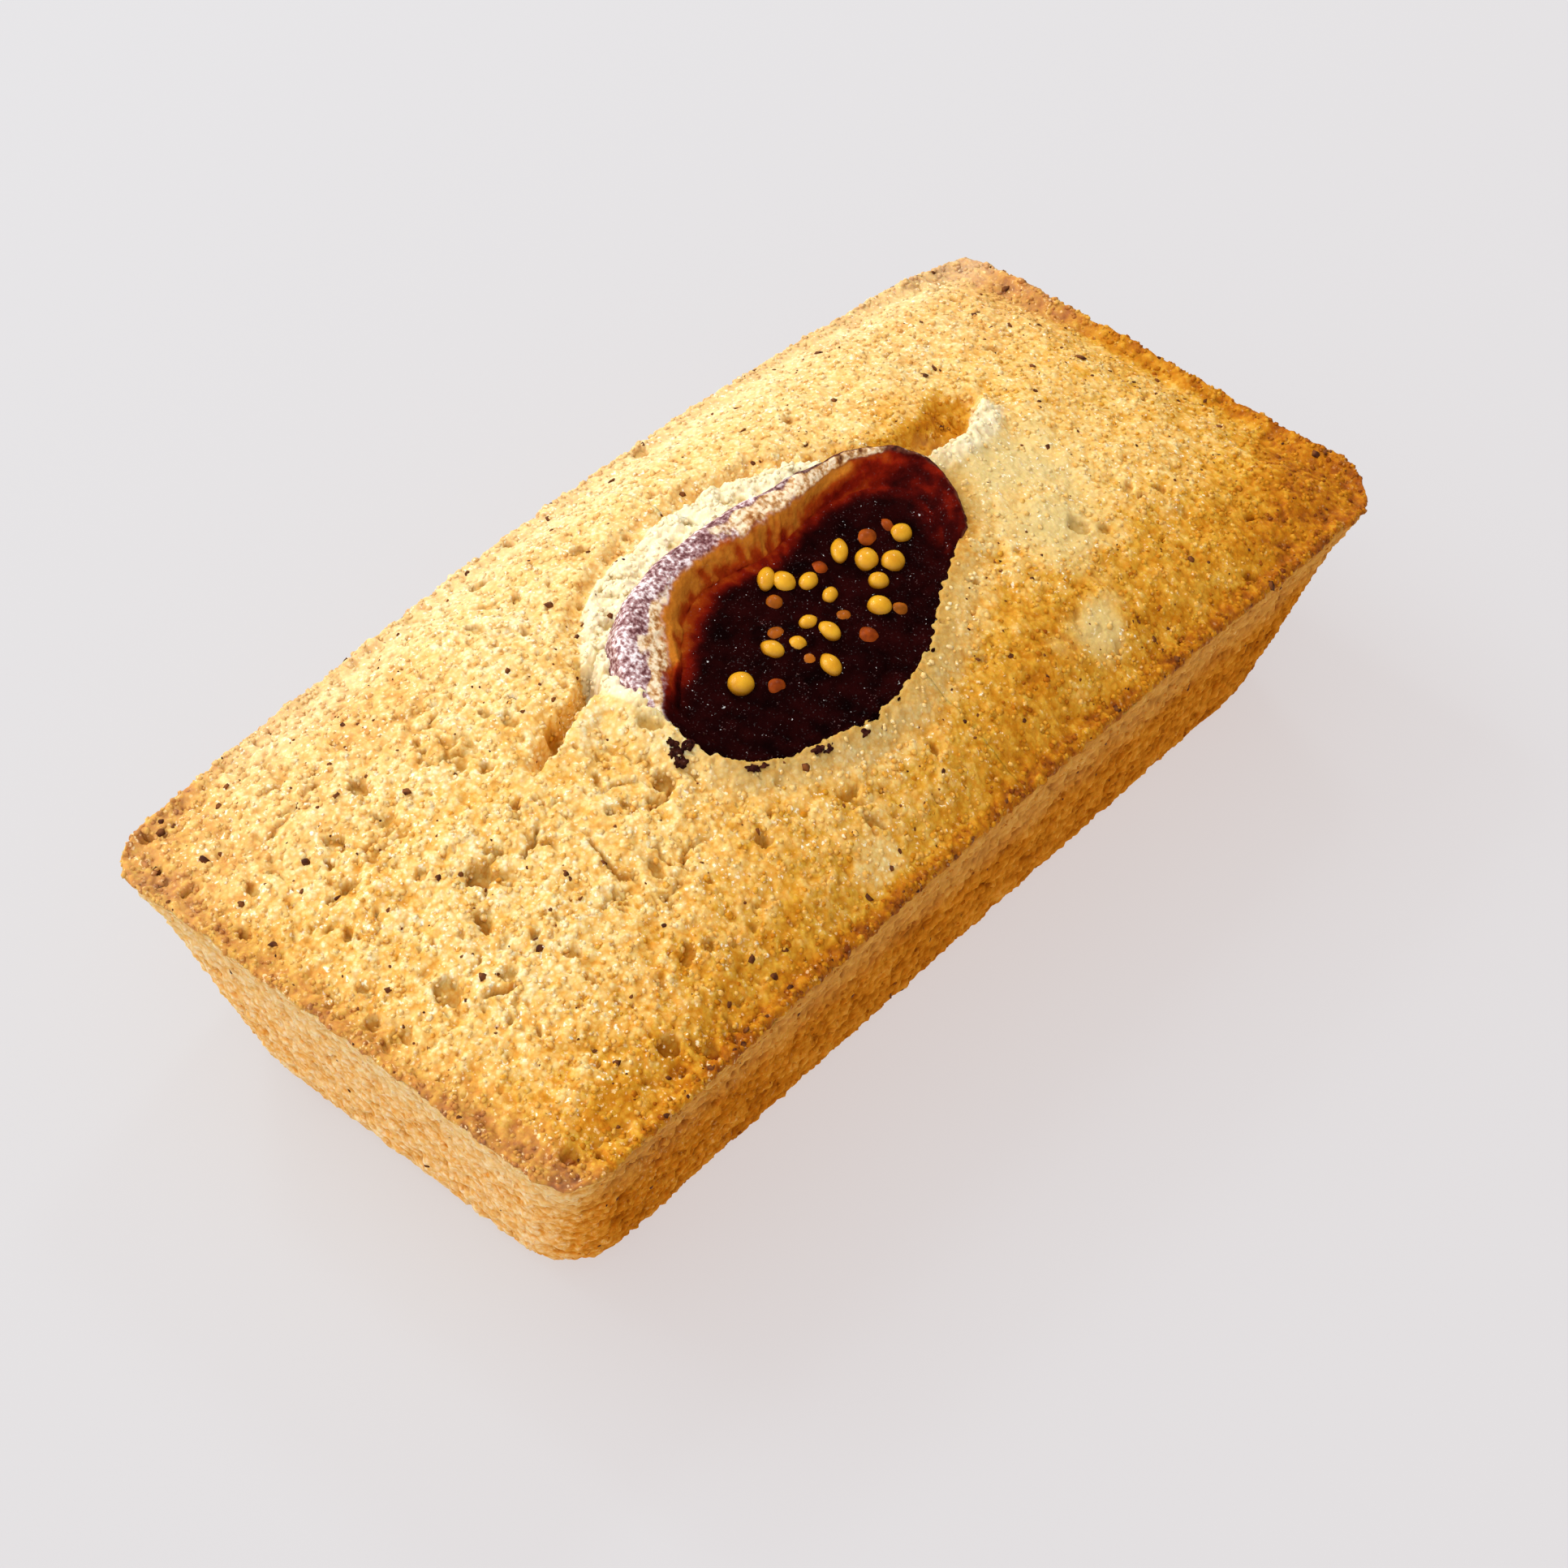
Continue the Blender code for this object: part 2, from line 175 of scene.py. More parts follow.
def nearPath(x, y, path):  # distance to a path, the side, and how far along it
    nearest = np.full(x.shape, 1e9)
    side = np.zeros(x.shape)
    share = np.zeros(x.shape)
    for index, (start, end) in enumerate(zip(path, path[1:])):
        run = np.subtract(end, start)
        armX, armY = x - start[0], y - start[1]
        part = np.clip((armX * run[0] + armY * run[1]) / run.dot(run), 0.0, 1.0)
        offX, offY = armX - part * run[0], armY - part * run[1]
        distance = np.hypot(offX, offY)
        closer = distance < nearest
        nearest = np.where(closer, distance, nearest)
        side = np.where(closer, np.sign(run[0] * offY - run[1] * offX), side)
        share = np.where(closer, (index + part) / (len(path) - 1), share)
    return nearest, side, share


def gridSheet(columns, rows):  # a flat sheet, and each vertex's column and row
    shape = bmesh.new()
    bmesh.ops.create_grid(shape, x_segments=columns, y_segments=rows, size=1.0)
    flat = np.array([vert.co[:2] for vert in shape.verts])
    return shape, (flat[:, 0] + 1.0) / 2.0, (flat[:, 1] + 1.0) / 2.0


def placeVerts(shape, x, y, z):
    for vert, spot in zip(shape.verts, np.stack([x, y, z], axis=-1).tolist()):
        vert.co = spot


def outward(rows):  # the direction that points off a sheet of points, given as rows x columns x 3
    across = np.roll(rows, -1, axis=1) - np.roll(rows, 1, axis=1)
    along = np.gradient(rows, axis=0)
    normal = np.cross(across, along)
    return normal / np.maximum(np.linalg.norm(normal, axis=2, keepdims=True), 1e-9)


def storeValues(shape, values):  # what the materials read back with stored()
    for key, numbers in values.items():
        layer = shape.verts.layers.float.new(key)
        for vert, number in zip(shape.verts, numbers.tolist()):
            vert[layer] = number


def makePiece(name, shape, paint):
    bmesh.ops.remove_doubles(shape, verts=shape.verts, dist=0.0005)
    bmesh.ops.recalc_face_normals(shape, faces=shape.faces)
    bmesh.ops.scale(shape, vec=(mm, mm, mm), verts=shape.verts)
    mesh = bpy.data.meshes.new(name)
    shape.to_mesh(mesh)
    shape.free()
    mesh.shade_smooth()
    mesh.materials.append(paint)
    piece = bpy.data.objects.new(name, mesh)
    bpy.context.scene.collection.objects.link(piece)
    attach(piece, "root")
    triangles = sum(len(face.vertices) - 2 for face in mesh.polygons)
    print(name, triangles, "triangles")
    return piece


# camera

view = {
    "place": (-140.32, -95.87, 177.82),
    "aim": (-8.99, -6.83, 15.5),
    "roll": 7.37,
    "lens": 83.9,
}
cameraData = bpy.data.cameras.new("camera")
cameraData.lens = view["lens"]
cameraData.sensor_width = 36.0
cameraData.clip_start = 0.01
camera = bpy.data.objects.new("camera", cameraData)
bpy.context.scene.collection.objects.link(camera)
camera.location = Vector(view["place"]) * mm
aimLine = Vector(view["aim"]) - Vector(view["place"])
turn = aimLine.to_track_quat("-Z", "Y") @ Quaternion((0.0, 0.0, 1.0), math.radians(view["roll"]))
camera.rotation_mode = "QUATERNION"
camera.rotation_quaternion = turn
bpy.context.scene.camera = camera
print("camera placed")


# the cake's form, as in the solids

cake = {
    "rimHeight": 15.5,
    "baseLength": 76.0,
    "baseWidth": 32.4,
    "baseRound": 2.4,
    "frontBow": 1.4,
    "backBow": 2.7,
    "bowPower": 1.5,
    "endBow": 0.2,
    "dome": 4.5,
    "domePower": 2.5,
    "wallHollow": 0.55,
    "hollowPlace": 0.2,
    "rimCorners": {(-1, -1): 3.5, (1, -1): 4.4, (1, 1): 2.6, (-1, 1): 3.7},
    "baseCorners": {(-1, -1): 4.5, (1, -1): 8.0, (1, 1): 7.0, (-1, 1): 11.0},
    "cornerLifts": {(-1, -1): 0.0, (1, -1): 0.6, (1, 1): -0.3, (-1, 1): -0.2},
    "cornerReach": 12.0,
    "rimTrough": (0.3, 1.4, 4.0),  # depth, how far in from the edge, and where it ends
    "endTrough": (0.6, 2.4, 7.0),
    "swell": 0.28,
}
halfX = (highCake.x - lowCake.x) / 2
halfY = (highCake.y - lowCake.y) / 2


def byCorner(x, y, amounts):
    picked = np.zeros(x.shape)
    for (signX, signY), amount in amounts.items():
        picked = np.where((x * signX > 0) & (y * signY > 0), amount, picked)
    return picked


def roundOff(u, v, spanX, spanY, corner):  # the unit square moved into an outline with round corners
    x, y = u * spanX, v * spanY
    startX, startY = spanX - corner, spanY - corner
    a = np.maximum(np.abs(x) - startX, 0.0) / corner
    b = np.maximum(np.abs(y) - startY, 0.0) / corner
    bent = (a > 0) & (b > 0)
    bentX = np.sign(u) * (startX + corner * a * np.sqrt(1.0 - b * b / 2.0))
    bentY = np.sign(v) * (startY + corner * b * np.sqrt(1.0 - a * a / 2.0))
    return np.where(bent, bentX, x), np.where(bent, bentY, y)


def dip(depth, place, width, edge):
    return -depth * softStep(0.0, place, edge) * (1.0 - softStep(place, width, edge))


def topForm(x, y):  # the risen top without its crumb
    along = np.minimum(np.abs(x) / halfX, 1.0)
    across = np.minimum(np.abs(y) / halfY, 1.0)
    back = 0.5 + 0.5 * y / halfY
    bow = cake["frontBow"] + (cake["backBow"] - cake["frontBow"]) * back
    height = cake["rimHeight"] + bow * (1.0 - along**2) ** cake["bowPower"]
    height = height + cake["endBow"] * (1.0 - across**2) * along**4
    power = cake["domePower"]
    height = height + cake["dome"] * (1.0 - along**power) * (1.0 - across**power)
    fromCorner = np.hypot(halfX - np.abs(x), halfY - np.abs(y))
    lift = byCorner(x, y, cake["cornerLifts"])
    height = height + lift * (1.0 - softStep(0.0, cake["cornerReach"], fromCorner))
    edge = np.minimum(halfX - np.abs(x), halfY - np.abs(y))
    height = height + dip(*cake["rimTrough"], edge)
    height = height + dip(*cake["endTrough"], halfX - x + 0.9 * lumps(x, y, 90.0, 2.5))
    height = height + 0.15 * lumps(x, y, 20.0, 4.0)
    swell = lumps(x, y, 0.0, 5.0) + 0.4 * lumps(x, y, 9.0, 5.0 / 2.6)
    return height + cake["swell"] * swell * softStep(0.0, 4.0, edge)


# the fig's outline, seen from above

fig = {
    "outline": ((15.2, 1.4), (12.6, 4.7), (7.2, 6.4), (-2.5, 7.6), (-9.8, 6.6), (-14.6, 3.2), (-15.5, -1.8),
                (-13.6, -7.5), (-5.2, -10.3), (1.8, -9.3), (7.6, -6.3), (13.0, -3.3)),
    "centre": (-0.4, -1.0),
    "bottom": 13.8,
    "waist": 20.9,
    "flesh": 21.5,
    "tilt": 0.045,
    "rise": 1.9,
    "crestInset": 1.0,
    "rollInset": 2.7,
    "footInset": 4.0,
}


def smoothLoop(points, steps):  # a smooth closed curve through the points
    corners = np.array(points, float)
    before, after, later = np.roll(corners, 1, 0), np.roll(corners, -1, 0), np.roll(corners, -2, 0)
    drawn = []
    for t in np.linspace(0.0, 1.0, steps, endpoint=False):
        bend = (before * 2.0 - corners * 5.0 + after * 4.0 - later) * t * t
        twist = (corners * 3.0 - before - after * 3.0 + later) * t**3
        drawn.append((corners * 2.0 + (after - before) * t + bend + twist) * 0.5)
    return np.stack(drawn, axis=1).reshape(-1, 2)


figLine = smoothLoop(fig["outline"], 30) - np.array(fig["centre"])
lineAngle = np.arctan2(figLine[:, 1], figLine[:, 0]) % math.tau
lineOrder = np.argsort(lineAngle)
lineAngle, lineReach = lineAngle[lineOrder], np.hypot(*figLine.T)[lineOrder]


def figReach(angle):
    return np.interp(angle % math.tau, lineAngle, lineReach, period=math.tau)


def raisedSkin(angle):  # 1 along the back, where the skin stands up, and 0 along the front
    degrees = np.degrees(angle) % 360.0
    degrees = np.where(degrees > 270.0, degrees - 360.0, degrees)
    return softStep(-35.0, 50.0, degrees) * (1.0 - softStep(150.0, 202.0, degrees))


def fleshHeight(x, y):
    return fig["flesh"] + fig["tilt"] * y + 0.2 * lumps(x, y, 4.0, 2.2)


# materials

crumbColours = (  # from pale torn crumb to the darkest rim
    (0.00, (0.87, 0.73, 0.44)),
    (0.16, (0.85, 0.63, 0.27)),
    (0.34, (0.80, 0.515, 0.155)),
    (0.52, (0.69, 0.365, 0.037)),
    (0.70, (0.55, 0.218, 0.007)),
    (0.85, (0.38, 0.115, 0.004)),
    (1.00, (0.20, 0.048, 0.006)),
)
wallColours = (  # the sides took their colour from the mould
    (0.00, (0.88, 0.66, 0.39)),
    (0.28, (0.87, 0.53, 0.22)),
    (0.46, (0.76, 0.35, 0.058)),
    (0.62, (0.64, 0.235, 0.018)),
    (0.80, (0.47, 0.145, 0.007)),
    (1.00, (0.24, 0.060, 0.006)),
)


crumbLook = {
    "pebbles": 0.30,  # size of the grains in the bump and colour
    "clods": 0.62,
    "speckleShare": 0.44,
    "blotchShare": 0.18,
    "batter": (0.64, 0.46, 0.17),
    "torn": (0.90, 0.80, 0.54),
    "hollow": (0.62, 0.47, 0.20),  # painted shade, multiplied, like the next two, which paint shade in the gaps between grains and between clods
    "pebbleGapShade": (0.92, 0.70, 0.34),
    "clodGapShade": (0.92, 0.68, 0.30),
    # colours of the painted glints
    "paintedGlintPale": (1.0, 0.94, 0.74),
    "paintedGlintBrown": (1.0, 0.72, 0.38),
}


# The third argument sets how many painted glints the crumb gets.
def crumbPaint(name, colours, paintedGlintShare, **constants):
    paint = Paint(name, 0.5, **constants)
    toast, hollow, batter, torn = [paint.stored(key) for key in ("toast", "hollow", "batter", "torn")]
    pebbles = paint.cells(crumbLook["pebbles"])
    pebbleTone = paint.cells(crumbLook["pebbles"], "Color") - 0.5
    clods = paint.cells(crumbLook["clods"])
    speckle = paint.grain(0.55, 2.5) - 0.5
    blotch = paint.grain(2.2, 2.0, 4.0) - 0.5
    along, across = [paint.node("ShaderNodeSeparateXYZ", None, {"Vector": paint.place}, axis)
                     for axis in "XY"]
    backwards = across.between(4.0 * mm, 12.0 * mm)
    coarse = 1.0 - along.between(-34.0 * mm, -10.0 * mm) * (1.0 - backwards * 0.7)  # and more painted glints
    grainy = (1.0 - batter * 0.7) * (1.0 - toast.between(0.40, 0.65) * 0.3) * (1.0 + coarse * 0.35)
    shade = toast + (speckle * crumbLook["speckleShare"] + pebbleTone * 0.14) * grainy
    colour = paint.ramp(shade + blotch * crumbLook["blotchShare"], colours)
    # The multiplied colours below are painted shade: in the gaps between the bump's grains and clods, and
    # in the hollows.
    coats = (
        (pebbles.between(0.35, 0.7) * grainy * 0.5, "pebbleGapShade", "MULTIPLY"),
        (clods.between(0.4, 0.7) * grainy * 0.5, "clodGapShade", "MULTIPLY"),
        (batter * 0.85, "batter", "MIX"),
        (torn * 0.85, "torn", "MIX"),
        (hollow * 0.85, "hollow", "MULTIPLY"),
    )
    for share, key, blend in coats:
        colour = paint.mix(share, colour, crumbLook[key], blend)
    # Painted glints: pale spots in the base colour stand in for highlights on the grain tops, with fewer in
    # hollows, in gaps and on toasted crust.
    cluster = paint.grain(1.3, 2.0, 6.0).between(0.42, 0.62) * 0.7 + 0.3
    glintSpots = (paint.grain(0.24, 1.0, 11.0) + coarse * 0.03).between(0.60, 0.66) * cluster
    glintlessToast = toast.between(0.45, 0.70) * (1.0 - coarse) * 0.8
    paintedGlints = glintSpots * (1.0 - hollow) * paintedGlintShare * (1.0 - glintlessToast) * (1.0 - pebbles.between(0.35, 0.6))
    paintedGlintColour = paint.mix(toast.between(0.40, 0.60), crumbLook["paintedGlintPale"], crumbLook["paintedGlintBrown"])
    colour = paint.mix(paintedGlints * 0.9, colour, paintedGlintColour)
    normal = paint.bump(1.0 - clods, 0.45, 0.16)
    normal = paint.bump(1.0 - pebbles, 0.4, 0.10, normal)
    normal = paint.bump(paint.grain(0.15, 2.0, 9.0), 0.35, 0.08, normal)
    rough = 0.6 - paint.grain(0.5, 1.0, 2.0).between(0.45, 0.7) * 0.2
    return paint.finish(Base_Color=colour, Roughness=rough, Normal=normal)


softness = {"Subsurface_Weight": 0.35, "Subsurface_Scale": 0.0009, "Subsurface_Radius": (1.0, 0.5, 0.15)}
crustPaint = crumbPaint("bakedCrust", crumbColours, 1.0, Specular_IOR_Level=0.06, **softness)
crustGrainPaint = crumbPaint("crustGrain", crumbColours, 1.0, Specular_IOR_Level=0.06)
wallPaint = crumbPaint("mouldedCrust", wallColours, 0.2, Specular_IOR_Level=0.0, **softness)
wallGrainPaint = crumbPaint("mouldedGrain", wallColours, 0.2, Specular_IOR_Level=0.0)


# risen top of the cake

anywhere = (-99.0, -98.0)
crust = {
    "columns": 330,
    "rows": 292,
    "rimCurl": 0.3,
    "skirt": 0.9,
    "underFig": 3.2,
    "warp": ((0.40, 1.3), (0.18, 0.4)),  # amounts and sizes of lumps
    "relief": ((0.15, 1.5), (0.12, 0.7)),
    "roughRim": ((0.24, 1.0), (0.16, 0.45)),
    "grain": 0.42,
    "grainDent": 0.20,
    "clump": 2.3,
    "wideGap": 0.10,
    "narrowGap": 0.30,
    "leftCrack": ((-23.2, 1.9), (-20.8, 2.2), (-18.7, 2.9), (-16.9, 3.15), (-15.6, 3.4), (-14.4, 4.6)),
    "rightCrack": ((14.6, 2.6), (17.7, 2.5), (20.2, 2.5), (22.2, 3.1), (24.0, 4.2), (26.0, 4.9)),
    "leftDeep": (2.1, 0.3, 1.3),  # depth, and how far from the path the far slope starts and ends
    "rightDeep": (1.6, 0.2, 3.6),
    "crackShoulder": 0.4,
    "steepSide": 0.5,
    "lip": 0.65,
    "lipWidth": 3.0,
    "tornRing": (  # degrees round the fig from its right end, and the ring's width
        (0.0, 0.0), (14.0, 0.4), (30.0, 2.0), (55.0, 3.5), (100.0, 3.4), (138.0, 2.6), (150.0, 1.7),
        (160.0, 1.0), (172.0, 0.5), (182.0, 0.0), (360.0, 0.0),
    ),
    "figCovered": (  # the same angle, and how much of the fig's edge lies under crumb
        (0.0, 0.3), (30.0, 0.1), (152.0, 0.1), (164.0, 0.7), (178.0, 0.8), (190.0, 0.0), (225.0, 0.0),
        (250.0, 0.2), (330.0, 0.4), (360.0, 0.3),
    ),
    "groove": 1.0,
    "pits": (  # place along and across, radius, depth
        (-29.6, 9.8, 0.8, 0.7), (-30.0, -0.4, 0.9, 0.9), (-36.8, -4.2, 0.9, 0.5), (-32.2, -2.8, 0.6, 0.6),
        (-18.1, -4.4, 0.8, 0.8), (-30.7, -16.0, 0.8, 0.6), (19.2, -8.2, 0.8, 0.4), (-37.6, 3.0, 0.45, 0.5),
        (-32.3, 2.1, 0.5, 0.4), (-22.0, -3.5, 0.35, 0.5), (-36.0, -8.2, 0.35, 0.4),
        (-35.5, -10.0, 0.35, 0.4), (-29.0, -18.0, 0.6, 0.4), (-40.0, -16.6, 0.7, 0.5),
        (-36.5, 5.6, 0.3, 0.4), (-34.5, 7.4, 0.3, 0.4),
        (20.6, -9.4, 0.5, 0.3), (25.5, -9.0, 0.4, 0.3), (27.0, -11.5, 0.4, 0.3), (-24.5, -13.4, 0.4, 0.4),
        (-40.6, 13.0, 0.4, 0.4), (-41.0, 8.0, 0.5, 0.4), (-40.8, -2.0, 0.5, 0.4), (-24.0, 4.5, 0.5, 0.4),
    ),
    "randomPits": 280,
    "pores": 1100,
    "smallCrackDepth": 0.6,
    "smallCracks": (
        ((-25.0, -0.9), (-26.4, -1.2), (-27.5, -1.8)),
        ((-33.5, -7.2), (-34.6, -6.9), (-36.0, -6.0)),
        ((-20.5, -5.0), (-19.0, -5.1), (-17.5, -4.6)),
        ((-24.0, -4.0), (-24.6, -6.0), (-24.2, -8.0)),
    ),
    "batterZones": ((19.5, -1.8, 4.8, 3.6), (17.8, -7.0, 3.6, 3.2), (13.0, -14.2, 2.5, 1.4)),
    "toastSlopes": (  # amount, then where it begins and where it is full, along and across
        (0.20, anywhere, (-7.0, -15.0)), (0.18, (-12.0, 6.0), (-5.0, -13.0)),
        (-0.063, (12.0, 24.0), (-5.0, -13.0)), (-0.06, (-36.0, -28.0), (4.0, 14.0)),
        (0.06, (15.0, 27.0), (9.0, 14.0)), (0.06, (-15.0, -27.0), (9.0, 14.0)),
        (0.06, (35.5, 39.0), (5.0, 10.0)), (0.06, (35.5, 39.0), (-1.0, -6.0)),
        (0.07, (26.0, 36.0), anywhere), (-0.06, (-26.0, -34.0), anywhere), (0.06, (-37.0, -41.0), anywhere),
        (0.12, (-14.0, -20.0), (-14.0, -16.5)), (-0.12, (-34.0, -38.0), (-14.0, -16.5)),
        (0.10, (20.0, 34.0), (-12.0, -16.5)), (0.07, (34.0, 40.0), anywhere),
    ),
    "toastSpots": (  # amount, place along and across, reach along and across
        (-0.11, -28.0, -6.0, 9.0, 8.0), (-0.05, -27.0, 0.0, 5.0, 5.0), (-0.11, -21.0, 7.0, 9.0, 4.5),
        (-0.14, -15.0, 12.0, 4.0, 3.0), (-0.11, -6.0, -13.0, 7.0, 3.0), (-0.10, 11.5, -17.0, 5.0, 2.0),
        (0.10, -15.0, -8.0, 4.0, 3.0), (0.09, 8.0, -8.0, 3.0, 2.5), (0.08, 39.0, -14.0, 4.0, 4.0),
        (0.20, 18.6, 7.4, 2.2, 1.3),
    ),
    "toastCorners": {(1, -1): (0.22, 7.0), (-1, -1): (0.21, 7.0), (-1, 1): (0.20, 10.0)},  # amount, reach
    "brownPatch": (-24.0, 13.0, 4.5, 3.0),
    "paleFlake": (-12.0, -16.3, 2.0, 1.3),
    "amberFlake": (-36.0, -16.3, 2.4, 1.2),
}


# height, and how near the open slope and the lip are
def crackShape(x, y, path, closedEnd, depth, foot, far):
    distance, side, share = nearPath(x, y, path)
    opened = softStep(0.0, 0.3, np.abs(share - closedEnd))
    shoulder = crust["crackShoulder"]
    slope = -depth * (1.0 - softStep(foot, far, distance))
    slope = slope - shoulder * (1.0 - softStep(foot, far + 2.0, distance))
    risen = softStep(0.0, crust["steepSide"], distance)
    lip = crust["lip"] * risen * (1.0 - softStep(crust["steepSide"], crust["lipWidth"], distance))
    height = opened * np.where(side > 0, slope, lip - (depth + shoulder) * (1.0 - risen))
    nearSlope = opened * (side > 0) * (1.0 - softStep(0.7 * far, 1.1 * far, distance))
    nearLip = opened * (side < 0) * (1.0 - softStep(1.0, 3.4, distance))
    return height, nearSlope, nearLip


def batterZones(x, y):  # smooth batter that didn't brown
    ragged = layered(x, y, 30.0, ((0.6, 3.0), (0.3, 1.0)))
    amount = np.zeros(x.shape)
    for zoneX, zoneY, spanX, spanY in crust["batterZones"]:
        off = np.hypot((x - zoneX) / spanX, (y - zoneY) / spanY) + ragged
        amount = np.maximum(amount, 1.0 - softStep(0.2, 1.7, off))
    return 0.9 * amount


def ovalShare(x, y, ovalX, ovalY, spanX, spanY, inner=0.8, outer=1.1):  # 1 in an oval patch
    return 1.0 - softStep(inner, outer, np.hypot((x - ovalX) / spanX, (y - ovalY) / spanY))


def toastTop(x, y):  # 0 pale to 1 dark: the front, the ends and the rim browned most
    edge = np.minimum(halfX - np.abs(x), halfY - np.abs(y))
    ragged = layered(x, y, 40.0, ((1.0, 2.5), (0.6, 0.8)))
    toast = 0.27 + 0.07 * ragged + 0.20 * (1.0 - softStep(0.1, 2.2 + ragged, edge))
    for amount, along, across in crust["toastSlopes"]:
        toast = toast + amount * softStep(*along, x) * softStep(*across, y)
    for amount, *spot in crust["toastSpots"]:
        toast = toast + amount * hump(x, y, *spot)
    for (signX, signY), (amount, reach) in crust["toastCorners"].items():
        toast = toast + amount * softStep(reach, 2.0, np.hypot(halfX - signX * x, halfY - signY * y))
    toast = toast + 0.12 * ovalShare(x, y, *crust["brownPatch"], 0.5, 1.3)
    frontRim = 0.34 - 0.19 * softStep(-15.0, 0.0, x) + 0.10 * softStep(12.0, 24.0, x)
    toast = toast + frontRim * softStep(1.2, 0.3, halfY + y + 0.3 * ragged) * softStep(-38.0, -26.0, x)
    toast = toast + 0.12 * softStep(3.6, 0.6, halfX + x + ragged)
    inner = 2.5 - 0.05 * (18.0 - y)  # the right rim's dark band widens to the back
    rightRim = 0.39 + 0.19 * softStep(2.0, 10.0, y)
    toast = toast + rightRim * softStep(inner + 0.8, inner - 1.2, halfX - x + 0.9 * ragged)
    return np.minimum(toast, 0.53 + 0.09 * softStep(0.0, -12.0, y) + 0.17 * softStep(-38.0, -28.0, x))


def randomPits():  # place, radius and turn of the small holes, most of them at the left
    rng = np.random.default_rng(7)
    count = crust["pores"] + crust["randomPits"]
    spotX = rng.uniform(-halfX + 0.6, halfX - 0.6, count)
    spotY = rng.uniform(-halfY + 0.6, halfY - 0.6, count)
    radii = 0.10 + 0.12 * rng.random(count)
    radii[:crust["randomPits"]] += 0.44 * rng.random(crust["randomPits"]) ** 2.0
    keep = rng.random(count) < 0.25 + 0.75 * softStep(12.0, -20.0, spotX)
    turns = rng.uniform(0.0, math.pi, count)
    return np.stack([spotX, spotY, radii, turns], axis=-1)[keep]


def dugOut(x, y, warpX, warpY, height, calm):  # the height with pits, small cracks and pores taken away
    for pitX, pitY, radius, depth in crust["pits"]:
        off = np.hypot(warpX - pitX, warpY - pitY) / radius
        height = height - depth * (1.0 - softStep(0.7, 1.1, off))
    for path in crust["smallCracks"]:
        distance, side, share = nearPath(warpX, warpY, path)
        taper = softStep(0.0, 0.2, share) * softStep(1.0, 0.8, share)
        height = height - crust["smallCrackDepth"] * taper * (1.0 - softStep(0.05, 0.3, distance))
    for pitX, pitY, radius, turned in randomPits():
        close = (np.abs(x - pitX) < 1.2) & (np.abs(y - pitY) < 1.2)
        offX, offY = warpX[close] - pitX, warpY[close] - pitY
        along = (offX * math.cos(turned) + offY * math.sin(turned)) * 0.75
        across = (offY * math.cos(turned) - offX * math.sin(turned)) * 1.3
        off = np.hypot(along, across) / radius
        height[close] -= (0.10 + 0.6 * radius) * (1.0 - softStep(0.7, 1.15, off)) * calm[close]
    return height


def aroundFig(x, y):  # distance outside the fig's outline, and the angle round the fig
    armX, armY = x - fig["centre"][0], y - fig["centre"][1]
    angle = np.arctan2(armY, armX)
    return np.hypot(armX, armY) - figReach(angle), angle


